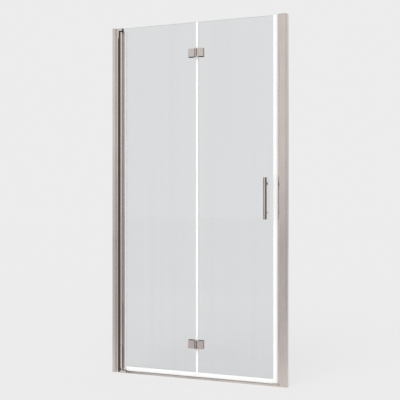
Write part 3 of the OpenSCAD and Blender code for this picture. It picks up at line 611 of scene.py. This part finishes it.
class Growth:
    """A Geometry Nodes tree with named inputs, and the plain meshes that it makes."""

    name = ""
    inputs: dict[str, str] = {}
    takes_mesh = False

    def __init__(self) -> None:
        """Builds the tree."""
        self.tree = bpy.data.node_groups.new(self.name, "GeometryNodeTree")
        face = self.tree.interface
        if self.takes_mesh:
            face.new_socket("Geometry", in_out="INPUT", socket_type="NodeSocketGeometry")
        for label, kind in self.inputs.items():
            face.new_socket(label, in_out="INPUT", socket_type=f"NodeSocket{kind}")
        face.new_socket("Geometry", in_out="OUTPUT", socket_type="NodeSocketGeometry")
        given = add(self.tree, "NodeGroupInput").outputs
        solid = self.add("GeometryNodeRealizeInstances", {0: self.shape(given)})
        dressed = self.add("GeometryNodeSetMaterial", {"Geometry": solid,
                                                       "Material": given["Finish"]})
        add(self.tree, "NodeGroupOutput", {0: dressed})

    def add(self, kind: str, links: dict | None = None, **settings) -> Socket:
        """Adds a node and gives its first output."""
        return add(self.tree, kind, links, **settings).outputs[0]

    def maths(self, operation: str, *values) -> Socket:
        """Adds a Math node and gives its result."""
        return self.add("ShaderNodeMath", dict(enumerate(values)), operation=operation)

    def along_z(self, geometry: Socket, z: Socket) -> Socket:
        """Moves geometry along Z."""
        way = self.add("ShaderNodeCombineXYZ", {"Z": z})
        return self.add("GeometryNodeTransform", {"Geometry": geometry, "Translation": way})

    def shape(self, given: bpy.types.bpy_prop_collection) -> Socket:
        """Builds the tree's own nodes.

        Args:
            given: The group's inputs.

        Returns:
            The geometry.
        """
        raise NotImplementedError

    def grow(self, values: dict, mesh: bpy.types.Mesh | None = None) -> bpy.types.Mesh:
        """Runs the tree.

        Args:
            values: Input name to its value.
            mesh: What the tree starts from, if it takes a mesh.

        Returns:
            A plain mesh.
        """
        carrier = placed("carrier", mesh or bpy.data.meshes.new("seed"))
        modifier = carrier.modifiers.new(self.name, "NODES")
        modifier.node_group = self.tree
        for item in self.tree.interface.items_tree:
            if item.in_out == "INPUT" and item.name in values:
                modifier[item.identifier] = values[item.name]
        grown = evaluated(carrier)
        # the carrier's own empty slot goes, and one slot with the finish is left
        grown.materials.clear()
        grown.materials.append(values["Finish"])
        grown.polygons.foreach_set("material_index", [0] * len(grown.polygons))
        return grown


class ScrewGrowth(Growth):
    """Countersunk screws with a hexagon socket in a straight row."""

    name = "row of countersunk screws"
    inputs = {"Head Diameter": "Float", "Shank Diameter": "Float", "Length": "Float",
              "Socket Width": "Float", "First": "Vector", "Step": "Vector", "Turn": "Vector",
              "Count": "Int", "Finish": "Material"}
    head_sides = 36
    shank_sides = 24
    tip_share = 0.4  # length of the tip to the shank's radius
    tip_radii = (0.98, 0.6)  # radii of the tip's start and end to the shank's
    socket_share = 1.9  # twice the socket's depth to the head's height

    def shape(self, given: bpy.types.bpy_prop_collection) -> Socket:
        """Joins head, shank and tip, cuts out the socket, and sets the screw at each point.

        Args:
            given: The group's inputs.

        Returns:
            The row of screws.
        """
        head_r = self.maths("MULTIPLY", given["Head Diameter"], 0.5)
        shank_r = self.maths("MULTIPLY", given["Shank Diameter"], 0.5)
        head_h = self.maths("SUBTRACT", head_r, shank_r)
        tip = self.maths("MULTIPLY", shank_r, self.tip_share)
        head = self.along_z(self.add("GeometryNodeMeshCone", {
            "Vertices": self.head_sides, "Radius Top": head_r, "Radius Bottom": shank_r,
            "Depth": head_h}), self.maths("MULTIPLY", head_h, -1.0))
        # the shank starts inside the head and the tip inside the shank, so that they join cleanly
        inside = self.maths("MULTIPLY", head_h, 0.5)
        reach = self.maths("SUBTRACT", self.maths("SUBTRACT", given["Length"], inside), tip)
        middle = self.maths("MULTIPLY_ADD", reach, -0.5, self.maths("MULTIPLY", inside, -1.0))
        shank = self.along_z(self.add("GeometryNodeMeshCylinder", {
            "Vertices": self.shank_sides, "Radius": shank_r, "Depth": reach}), middle)
        end = self.along_z(self.add("GeometryNodeMeshCone", {
            "Vertices": self.shank_sides,
            "Radius Top": self.maths("MULTIPLY", shank_r, self.tip_radii[0]),
            "Radius Bottom": self.maths("MULTIPLY", shank_r, self.tip_radii[1]),
            "Depth": self.maths("MULTIPLY", tip, 2.0)}),
            self.maths("MULTIPLY", given["Length"], -1.0))
        body = self.add("GeometryNodeMeshBoolean", {"Mesh 2": [head, shank, end]},
                        operation="UNION", solver="EXACT")
        # a hexagon's corners lie further out than its flats, by 2 to the root of 3
        socket = self.add("GeometryNodeMeshCylinder", {
            "Vertices": 6, "Radius": self.maths("MULTIPLY", given["Socket Width"], 3 ** -0.5),
            "Depth": self.maths("MULTIPLY", head_h, self.socket_share)})
        screw = self.add("GeometryNodeMeshBoolean", {"Mesh 1": body, "Mesh 2": socket},
                         operation="DIFFERENCE", solver="EXACT")
        places = self.add("GeometryNodeMeshLine", {
            "Count": given["Count"], "Start Location": given["First"], "Offset": given["Step"]})
        return self.add("GeometryNodeInstanceOnPoints", {
            "Points": places, "Instance": screw, "Rotation": given["Turn"]})


class Facing(Enum):
    """The way that a row of screws faces, as the turn that brings their heads there."""

    INSIDE = (-math.pi / 2, 0.0, 0.0)
    DOOR = (0.0, math.pi / 2, 0.0)


@dataclass(frozen=True)
class ScrewRow:
    """Sizes and places of the countersunk screws in one row, in millimetres."""

    node: str
    head: float
    shank: float
    length: float
    first: Point
    step: Point
    count: int
    facing: Facing = Facing.INSIDE
    socket_share: float = 0.6  # width of the hexagon socket to the shank

    def build(self, growth: ScrewGrowth, finish: bpy.types.Material) -> bpy.types.Object:
        """Makes the row as one piece.

        Args:
            growth: The screws' tree.
            finish: Their material.

        Returns:
            The piece, which replaces the CAD node.
        """
        mesh = growth.grow({
            "Head Diameter": self.head * MM, "Shank Diameter": self.shank * MM,
            "Length": self.length * MM, "Socket Width": self.shank * self.socket_share * MM,
            "First": tuple(v * MM for v in self.first),
            "Step": tuple(v * MM for v in self.step),
            "Turn": self.facing.value, "Count": self.count, "Finish": finish})
        smooth(mesh)
        return stand_in(self.node, mesh)


class SectionGrowth(Growth):
    """A drawn section with rounded corners, pushed out to a length and laid in its place."""

    name = "extruded section"
    takes_mesh = True
    inputs = {"Corner Radius": "Float", "Length": "Float", "Turn": "Vector", "Place": "Vector",
              "Finish": "Material"}
    corner_points = 3
    weld = 0.005 * MM

    def shape(self, given: bpy.types.bpy_prop_collection) -> Socket:
        """Rounds the outline's corners, fills it, and pushes the face out along Z.

        Args:
            given: The group's inputs.

        Returns:
            The closed extrusion.
        """
        outline = self.add("GeometryNodeMeshToCurve", {"Mesh": given["Geometry"]})
        corner = self.add("GeometryNodeInputNamedAttribute", {"Name": "corner"}, data_type="FLOAT")
        radius = self.maths("MULTIPLY", corner, given["Corner Radius"])
        rounded = self.add("GeometryNodeFilletCurve", {
            "Curve": outline, "Count": self.corner_points, "Radius": radius,
            "Limit Radius": True}, mode="POLY")
        face = self.add("GeometryNodeFillCurve", {"Curve": rounded}, mode="TRIANGLES")
        sides = self.add("GeometryNodeExtrudeMesh", {
            "Mesh": face, "Offset": (0.0, 0.0, 1.0), "Offset Scale": given["Length"],
            "Individual": False}, mode="FACES")
        back = self.add("GeometryNodeFlipFaces", {"Mesh": face})
        closed = self.add("GeometryNodeMergeByDistance", {
            "Geometry": self.add("GeometryNodeJoinGeometry", {0: [sides, back]}),
            "Distance": self.weld})
        return self.add("GeometryNodeTransform", {
            "Geometry": closed, "Translation": given["Place"], "Rotation": given["Turn"]})


class Run(Enum):
    """The way that an extruded piece runs: its axis, and the turn that brings Z there."""

    UPRIGHT = (2, (0.0, 0.0, 0.0))
    ACROSS = (0, (math.pi / 2, 0.0, math.pi / 2))


def rim_wire(rim: list[bmesh.types.BMVert], axis: int, across: int, up: int) -> bpy.types.Mesh:
    """Draws the outline of a solid's low end, with a mark at each real corner.

    Args:
        rim: The vertices of the low end.
        axis: Number of the axis that the piece runs along.
        across: Number of the axis that becomes the drawing's X.
        up: Number of the axis that becomes the drawing's Y.

    Returns:
        The outline as a mesh of edges, with the marks as its corner attribute.
    """
    place = {v: i for i, v in enumerate(rim)}
    ahead = {v: [e.other_vert(v) for e in v.link_edges if e.other_vert(v) in place
                 and any(abs(f.normal[axis]) < ALONG for f in e.link_faces)] for v in rim}
    edges = {tuple(sorted((place[v], place[other]))) for v in rim for other in ahead[v]}
    wire = bpy.data.meshes.new("section")
    wire.from_pydata([(v.co[across], v.co[up], 0.0) for v in rim], sorted(edges), [])
    corner = wire.attributes.new("corner", "FLOAT", "POINT")
    for vert, (one, other) in ahead.items():
        turned = (vert.co - one.co).angle(other.co - vert.co)
        corner.data[place[vert]].value = float(turned > math.radians(CORNER_DEG))
    return wire


def extruded(node: str, growth: SectionGrowth, finish: bpy.types.Material, corner_mm: float,
             run: Run = Run.UPRIGHT) -> bpy.types.Object:
    """Extrudes a node's section again, with the small round corners that a die leaves.

    Args:
        node: The CAD node, each solid of which has one section from end to end.
        growth: The sections' tree.
        finish: The piece's material.
        corner_mm: Radius of the round corners.
        run: The way that the piece runs.

    Returns:
        The piece, which replaces the CAD node.
    """
    axis, turn = run.value
    across, up = (1, 2) if run is Run.ACROSS else (0, 1)
    shape = merged(node)
    whole = bmesh.new()
    for solid in islands(shape):
        low = min(v.co[axis] for v in solid)
        high = max(v.co[axis] for v in solid)
        wire = rim_wire([v for v in solid if v.co[axis] - low < NEAR], axis, across, up)
        origin = [0.0, 0.0, 0.0]
        origin[axis] = low
        whole.from_mesh(growth.grow({
            "Corner Radius": corner_mm * MM, "Length": high - low, "Turn": turn,
            "Place": tuple(origin), "Finish": finish}, wire))
    shape.free()
    mesh = mesh_of(node, whole)
    mesh.materials.append(finish)
    smooth(mesh, SECTION_SMOOTH_DEG)
    return stand_in(node, mesh)


def islands(shape: bmesh.types.BMesh) -> list[list[bmesh.types.BMVert]]:
    """Splits a shape into its separate solids.

    Args:
        shape: The shape.

    Returns:
        The vertices of each solid.
    """
    shape.verts.index_update()
    left = dict.fromkeys(shape.verts)
    found = []
    while left:
        ring = [next(iter(left))]
        del left[ring[0]]
        for vert in ring:
            for edge in vert.link_edges:
                other = edge.other_vert(vert)
                if other in left:
                    del left[other]
                    ring.append(other)
        found.append(ring)
    return found


@dataclass
class Workshop:
    """What every sub-assembly is made with."""

    finishes: Finishes
    screws: ScrewGrowth
    sections: SectionGrowth


class SubAssembly:
    """A group of nodes with the finish that each one gets."""

    shop: Workshop

    def plain(self, names: Iterable[str], material: bpy.types.Material) -> None:
        """Gives CAD nodes that stay as they are their material.

        Args:
            names: The CAD nodes.
            material: Their material.
        """
        for name in names:
            dress(frame["nodes"][name], material)
            log.info("finished %s as %s", name, material.name)

    def worked(self, names: Iterable[str], material: bpy.types.Material, edge_mm: float,
               corner: TightCorner | None = None) -> None:
        """Replaces CAD nodes with copies that have smooth curves and softened edges.

        Args:
            names: The CAD nodes.
            material: Their material.
            edge_mm: Width of the softened edges.
            corner: The corners to draw tighter, if any.
        """
        for name in names:
            dress(refined(name, edge_mm, corner=corner), material)
            log.info("worked %s as %s, edges %.1f mm", name, material.name, edge_mm)

    def drawn(self, names: Iterable[str], material: bpy.types.Material, corner_mm: float,
              run: Run = Run.UPRIGHT) -> None:
        """Replaces extruded CAD nodes with extrusions that have round corners.

        Args:
            names: The CAD nodes.
            material: Their material.
            corner_mm: Radius of the round corners.
            run: The way that they run.
        """
        for name in names:
            extruded(name, self.shop.sections, material, corner_mm, run)
            log.info("extruded %s as %s, corners %.1f mm", name, material.name, corner_mm)

    def screwed(self, rows: Iterable[ScrewRow]) -> None:
        """Makes rows of stainless screws.

        Args:
            rows: The rows.
        """
        for row in rows:
            row.build(self.shop.screws, self.shop.finishes.steel)
            log.info("made %s, %d screws", row.node, row.count)


@dataclass
class Frame(SubAssembly):
    """What is fixed to the walls and the shower tray."""

    shop: Workshop
    hinge_jamb_x: float = -480.5
    jamb_half: float = 15.0
    jamb_screw_head: float = 6.98
    jamb_screw_shank: float = 3.5
    jamb_screw_length: float = 9.5
    jamb_screw_y: float = 15.0
    hinge_screw_x: float = -493.0
    strike_screw_x: float = 483.75
    jamb_screw_z: float = 120.0
    jamb_screw_step: float = 855.0
    bracket_screw_head: float = 7.78
    bracket_screw_shank: float = 3.9
    bracket_screw_length: float = 11.0
    bracket_face_x: float = -464.6
    bracket_screw_z: float = 1903.0
    bracket_screw_step: float = 22.0

    def build(self) -> None:
        """Dresses every piece of the frame."""
        f = self.shop.finishes
        self.worked(["left_wall_channel", "right_wall_channel", "strike_jamb"], f.profile, CRISP)
        self.worked(["strike_jamb_cap"], f.grey, CAST)
        corner = TightCorner(self.hinge_jamb_x, 1, self.jamb_half)
        self.worked(["hinge_jamb"], f.profile, CRISP, corner)
        self.worked(["hinge_jamb_cap"], f.grey, CAST, corner)
        self.worked(["top_pivot_bracket", "bottom_pivot_block", "strike_end_block",
                     "bottom_thrust_collar"], f.fitting, CAST)
        self.drawn(["threshold"], f.threshold, EASED, Run.ACROSS)
        self.worked(["top_pivot_pin", "bottom_pivot_pin"], f.steel, CRISP)
        self.worked(["jamb_gasket"], f.bulb, FINE)
        self.drawn(["strike_magnet_holder"], f.white, EASED)
        self.drawn(["strike_magnet_strip"], f.magnet, FINE)
        self.screwed(self.screw_rows())

    def screw_rows(self) -> list[ScrewRow]:
        """Lists the rows of screws in the jambs and the bracket.

        Returns:
            The rows.
        """
        step = (0.0, 0.0, self.jamb_screw_step)
        rows = [ScrewRow(node, self.jamb_screw_head, self.jamb_screw_shank, self.jamb_screw_length,
                         (x, self.jamb_screw_y, self.jamb_screw_z), step, 3)
                for node, x in (("hinge_jamb_screws", self.hinge_screw_x),
                                ("strike_jamb_screws", self.strike_screw_x))]
        rows.append(ScrewRow("top_bracket_screws", self.bracket_screw_head,
                             self.bracket_screw_shank, self.bracket_screw_length,
                             (self.bracket_face_x, 0.0, self.bracket_screw_z),
                             (0.0, 0.0, self.bracket_screw_step), 2, Facing.DOOR))
        return rows


class Hinge(Enum):
    """The two hinges between the panes, each with the height of its lower screws."""

    UPPER = ("upper_hinge", 1769.0)
    LOWER = ("lower_hinge", 177.0)


@dataclass(frozen=True)
class HingeHalf:
    """The pieces and screws of one hinge on one pane, in millimetres."""

    hinge: Hinge
    side: str
    screw_x: float
    head: float = 11.58
    shank: float = 5.8
    length: float = 20.5
    face_y: float = 10.0
    step: float = 24.0
    pad_reach: float = 1.3

    def build(self, assembly: SubAssembly) -> None:
        """Dresses the leaf, the back plate and the pads, and makes the screws.

        Args:
            assembly: The panel that the half belongs to.
        """
        f = assembly.shop.finishes
        name, screw_z = self.hinge.value
        half = f"{name}_{self.side}"
        assembly.worked([f"{half}_leaf", f"{half}_back_plate"], f.fitting, SOFT)
        # the pads come nearly flush with the plates, so that they show as a dark line round them:
        # partly the pads' own black rubber, partly painted shade under the plates
        dress(spread(f"{half}_pads", self.pad_reach), f.rubber)
        log.info("spread %s_pads by %.1f mm", half, self.pad_reach)
        assembly.screwed([ScrewRow(f"{half}_screws", self.head, self.shank, self.length,
                                   (self.screw_x, self.face_y, screw_z),
                                   (0.0, 0.0, self.step), 2)])


@dataclass
class PivotPanel(SubAssembly):
    """The turning stile and the first pane."""

    shop: Workshop
    hinge_screw_x: float = -30.75

    def build(self) -> None:
        """Dresses every piece of the first panel."""
        f = self.shop.finishes
        self.drawn(["pivot_stile"], f.profile, FINE)
        self.worked(["top_stile_plug"], f.rubber, CRISP)
        self.worked(["bottom_stile_plug"], f.grey, CRISP)
        self.worked(["top_pivot_bush"], f.acetal, CRISP)
        self.worked(["bottom_pivot_bush", "lower_hinge_bush"], f.nylon, CRISP)
        self.plain(["pivot_glass"], f.glass)
        self.drawn(["stile_glazing_gasket"], f.clear, SOFT)
        self.drawn(["pivot_drip_seal"], f.white_lying, SOFT, Run.ACROSS)
        for hinge in Hinge:
            HingeHalf(hinge, "pivot", self.hinge_screw_x).build(self)
        self.worked(["upper_hinge_pin"], f.steel, CRISP)


@dataclass
class FoldPanel(SubAssembly):
    """The second pane, with its seals and the handle."""

    shop: Workshop
    hinge_screw_x: float = 23.75
    handle_x: float = 385.0
    handle_screw_head: float = 7.98
    handle_screw_shank: float = 4.0
    handle_screw_length: float = 24.4
    handle_cap_y: float = 10.2
    handle_screw_z: float = 909.0
    handle_screw_step: float = 153.0

    def build(self) -> None:
        """Dresses every piece of the second panel."""
        f = self.shop.finishes
        self.plain(["fold_glass"], f.glass)
        self.drawn(["fold_seal"], f.white, SOFT)
        self.drawn(["magnetic_seal"], f.white, FULL)
        self.drawn(["fold_drip_seal"], f.white_lying, SOFT, Run.ACROSS)
        self.drawn(["seal_magnet"], f.magnet, FINE)
        for hinge in Hinge:
            HingeHalf(hinge, "fold", self.hinge_screw_x).build(self)
        self.worked(["upper_hinge_bush"], f.nylon, CRISP)
        self.worked(["lower_hinge_pin"], f.steel, CRISP)
        self.worked(["handle_bar"], f.bar, SOFT)
        # the upper post is drawn black, unlike the nickel lower post, so that the boss behind the
        # bar shows dark
        self.worked(["handle_upper_post"], f.acetal, FINE)
        self.worked(["handle_lower_post", "handle_rear_caps"], f.fitting, FINE)
        self.plain(["handle_washers"], f.clear)
        self.screwed([ScrewRow("handle_screws", self.handle_screw_head, self.handle_screw_shank,
                               self.handle_screw_length,
                               (self.handle_x, self.handle_cap_y, self.handle_screw_z),
                               (0.0, 0.0, self.handle_screw_step), 2)])


# ---------------------------------------------------------------- studio


def upright(start_at: tuple[float, float], end_at: tuple[float, float], low: float,
            high: float) -> Corners:
    """Corners of an upright sheet, in metres.

    Args:
        start_at: X and Y of its first side.
        end_at: X and Y of its other side.
        low: Height of its lower edge.
        high: Height of its upper edge.

    Returns:
        The four corners.
    """
    return (*start_at, low), (*end_at, low), (*end_at, high), (*start_at, high)


def lying(near: tuple[float, float], far: tuple[float, float], z: float) -> Corners:
    """Corners of a level sheet, in metres.

    Args:
        near: Its least X and Y.
        far: Its greatest X and Y.
        z: Its height.

    Returns:
        The four corners.
    """
    return (*near, z), (far[0], near[1], z), (*far, z), (near[0], far[1], z)


@dataclass(frozen=True)
class PaintedReflection:
    """A sheet beside the door that only reflections see, glowing in its colour: a painted
    reflection, set as photographers stand cards round metal.
    """

    name: str
    colour: str
    corners: Corners
    through_glass: bool = False
    in_glass: bool = False

    def build(self, obj: bpy.types.Object) -> None:
        """Dresses the card's sheet and hides it from all but reflections.

        Satin metal sees every card. The panes mirror a card only where in_glass is set, and a
        reflection that goes on through a pane meets a card only where through_glass is set.

        Args:
            obj: The sheet.
        """
        obj.visible_camera = obj.visible_diffuse = obj.visible_shadow = False
        obj.visible_transmission = self.through_glass
        material, tree = blank(self.name)
        rays = add(tree, "ShaderNodeLightPath").outputs
        share = rays["Glossy Depth"]
        if not self.in_glass:
            from_pane = add(tree, "ShaderNodeMath", {
                0: rays["Is Singular Ray"], 1: rays["Is Transmission Ray"]},
                operation="SUBTRACT", use_clamp=True).outputs[0]
            share = add(tree, "ShaderNodeMath", {0: share, 1: from_pane}, operation="SUBTRACT",
                        use_clamp=True).outputs[0]
        # the sheet's colour glows only where a reflection meets it: a painted reflection
        glow = add(tree, "ShaderNodeEmission", {"Color": linear(self.colour), "Strength": 1.0})
        clear = add(tree, "ShaderNodeBsdfTransparent").outputs[0]
        surface = add(tree, "ShaderNodeMixShader", {0: share, 1: clear, 2: glow.outputs[0]})
        add(tree, "ShaderNodeOutputMaterial", {"Surface": surface.outputs[0]})
        dress(obj, material)


@dataclass
class Studio:
    """Floor, backdrop, light and camera."""

    backdrop: str = "ececec"
    floor_size: float = 60.0
    eye: Point = (1.0317, -3.23643, 0.97447)
    turn_deg: float = 17.404
    lens_mm: float = 55.92
    film_mm: float = 36.0
    rise: float = 0.00114
    round_light: float = 0.72
    front_light: float = 0.25
    floor_matt: float = 0.25
    floor_glow: float = 1.008
    lamp_level: float = 1.04
    lamp_spread_deg: float = 50.0
    lamp_from_deg: tuple[float, float] = (4.0, 50.0)
    lamp_distance: float = 4.0
    # painted reflections: dark and grey sheets that only reflections see, which paint dark and
    # light lines on the metal and glass
    painted_reflections: tuple[PaintedReflection, ...] = (
        # painted dark reflection on the side of the handle bar
        PaintedReflection("painted dark reflection, before the handle", "4c4946",
             upright((0.743, -0.97), (1.13, -0.7), 0.75, 1.2)),
        # painted dark reflections of the room to the right of and behind the door
        PaintedReflection("painted dark reflection, right", "5c5956", upright((2.6, -2.0), (2.6, 3.0), 0, 3.4)),
        PaintedReflection("painted grey reflection, right rear", "b4b1ae", upright((2.6, 3.0), (2.6, 14.0), 0, 3.4),
             through_glass=True),
        # painted shade: sheets beside the stile, bracket, handle and hinges that darken the
        # reflections in their gaps, edges and undersides
        PaintedReflection("painted grey reflection, beside the stile", "908e8c",
             upright((-0.431, -0.06), (-0.4, -0.006), 0.4, 1.925)),
        PaintedReflection("painted grey reflection, beside the lower stile", "74726f",
             upright((-0.431, -0.06), (-0.4, -0.006), 0.14, 0.4)),
        PaintedReflection("painted dark reflection, beside the stile's foot", "4a4846",
             upright((-0.431, -0.06), (-0.4, -0.006), 0, 0.14)),
        PaintedReflection("painted dark reflection, beside the bracket", "2a2826",
             upright((-0.437, -0.055), (-0.4, -0.02), 1.925, 2.1)),
        PaintedReflection("painted dark reflection, beside the handle", "302e2c",
             upright((0.335, -0.056), (0.335, -0.1), 0.872, 1.1)),
        PaintedReflection("painted dark reflection, left of the upper hinge", "2a2826",
             upright((-0.085, -0.07), (-0.085, -0.014), 1.75, 1.85)),
        PaintedReflection("painted dark reflection, left of the lower hinge", "2a2826",
             upright((-0.085, -0.07), (-0.085, -0.014), 0.12, 0.22)),
        PaintedReflection("painted dark reflection, right of the lower hinge", "2a2826",
             upright((0.06, -0.075), (0.06, -0.014), 0.12, 0.22)),
        PaintedReflection("painted dark reflection, under the upper hinge", "1c1b1a",
             lying((-0.05, -0.024), (0.045, -0.006), 1.738)),
        PaintedReflection("painted dark reflection, above the lower hinge", "1c1b1a",
             lying((-0.05, -0.024), (0.045, -0.006), 0.232)),
        # painted reflections: a darker floor in front, mirrored in the glass and the metal, and a
        # dark floor and room behind, seen through the panes
        PaintedReflection("painted grey reflection, far floor", "bababa", lying((-12, -30), (6, -3), 0.002), in_glass=True),
        PaintedReflection("painted grey reflection, near floor", "d6d6d6", lying((-6, -3), (4, -0.4), 0.002), in_glass=True),
        PaintedReflection("painted dark reflection, rear floor", "201f1e", lying((-9, 1.5), (-0.9, 24), 0.002),
             through_glass=True),
        PaintedReflection("painted dark reflection, rear", "6a6866", upright((-7, 9), (-1.6, 9), 0.6, 4.4),
             through_glass=True))

    def build(self) -> None:
        """Makes the whole studio."""
        self.make_camera()
        self.make_world()
        self.make_floor()
        self.make_painted_reflections()
        self.make_lamps()

    def make_camera(self) -> None:
        """Places the camera where the photograph was taken from."""
        data = bpy.data.cameras.new("camera")
        data.lens = self.lens_mm
        data.sensor_width = self.film_mm
        data.shift_y = self.rise
        camera = placed("camera", data)
        camera.location = self.eye
        camera.rotation_euler = (math.radians(90), 0, math.radians(self.turn_deg))
        bpy.context.scene.camera = camera

    def make_world(self) -> None:
        """Makes the backdrop that camera, metal and glass see, and the light from all round."""
        world = bpy.data.worlds.new("studio")
        world.use_nodes = True
        tree = world.node_tree
        tree.nodes.clear()
        rays = add(tree, "ShaderNodeLightPath").outputs
        straight = add(tree, "ShaderNodeMath", {
            0: rays["Is Camera Ray"], 1: rays["Is Transmission Ray"]}, operation="MAXIMUM")
        seen = add(tree, "ShaderNodeMath", {
            0: straight.outputs[0], 1: rays["Is Glossy Ray"]}, operation="MAXIMUM")
        way = add(tree, "ShaderNodeSeparateXYZ",
                  {"Vector": add(tree, "ShaderNodeTexCoord").outputs["Generated"]})
        level = add(tree, "ShaderNodeMath", {0: way.outputs["Y"], 1: -self.front_light,
                                             2: self.round_light}, operation="MULTIPLY_ADD")
        light = add(tree, "ShaderNodeBackground", {"Color": (1, 1, 1, 1),
                                                   "Strength": level.outputs[0]})
        back = add(tree, "ShaderNodeBackground", {"Color": linear(self.backdrop), "Strength": 1.0})
        both = add(tree, "ShaderNodeMixShader", {0: seen.outputs[0], 1: light.outputs[0],
                                                 2: back.outputs[0]})
        add(tree, "ShaderNodeOutputWorld", {"Surface": both.outputs[0]})
        bpy.context.scene.world = world

    def sheet(self, name: str, corners: Corners) -> bpy.types.Object:
        """A flat staged sheet.

        Args:
            name: Its name.
            corners: Its four corners in metres.

        Returns:
            The object.
        """
        mesh = bpy.data.meshes.new(name)
        mesh.from_pydata(list(corners), [], [(0, 1, 2, 3)])
        obj = placed(name, mesh)
        return obj

    def make_floor(self) -> None:
        """Makes the pale floor, which shows the backdrop's colour and the door's shadow."""
        half = self.floor_size / 2
        floor = self.sheet("floor", lying((-half, -half), (half, half), 0))
        material, tree = blank("studio floor")
        matt = add(tree, "ShaderNodeBsdfDiffuse", {"Color": linear(self.backdrop)})
        glow = add(tree, "ShaderNodeEmission", {"Color": linear(self.backdrop),
                                                "Strength": self.floor_glow})
        both = add(tree, "ShaderNodeMixShader", {0: self.floor_matt, 1: glow.outputs[0],
                                                 2: matt.outputs[0]})
        add(tree, "ShaderNodeOutputMaterial", {"Surface": both.outputs[0]})
        dress(floor, material)

    def make_painted_reflections(self) -> None:
        """Stands the painted reflections round the door, which give its metal dark and light lines.
        """
        for card in self.painted_reflections:
            card.build(self.sheet(card.name, card.corners))

    def make_lamps(self) -> None:
        """Adds one broad soft lamp from the front and above."""
        data = bpy.data.lights.new("soft lamp", "SUN")
        data.energy = self.lamp_level
        data.angle = math.radians(self.lamp_spread_deg)
        lamp = placed("soft lamp", data)
        side, up = (math.radians(angle) for angle in self.lamp_from_deg)
        way = Vector((-math.sin(side) * math.cos(up), -math.cos(side) * math.cos(up), math.sin(up)))
        lamp.location = way * self.lamp_distance
        lamp.rotation_euler = (-way).to_track_quat("-Z", "Y").to_euler()
        lamp.visible_glossy = False


def main() -> None:
    """Builds the door's sub-assemblies and the studio in order."""
    bpy.context.scene.view_settings.view_transform = "Standard"
    shop = Workshop(Finishes(), ScrewGrowth(), SectionGrowth())
    for part in (Frame, PivotPanel, FoldPanel):
        part(shop).build()
        log.info("built %s", part.__name__)
    Studio().build()


if __name__ == "__main__":
    logging.basicConfig(level=logging.INFO, format="%(message)s")
    main()
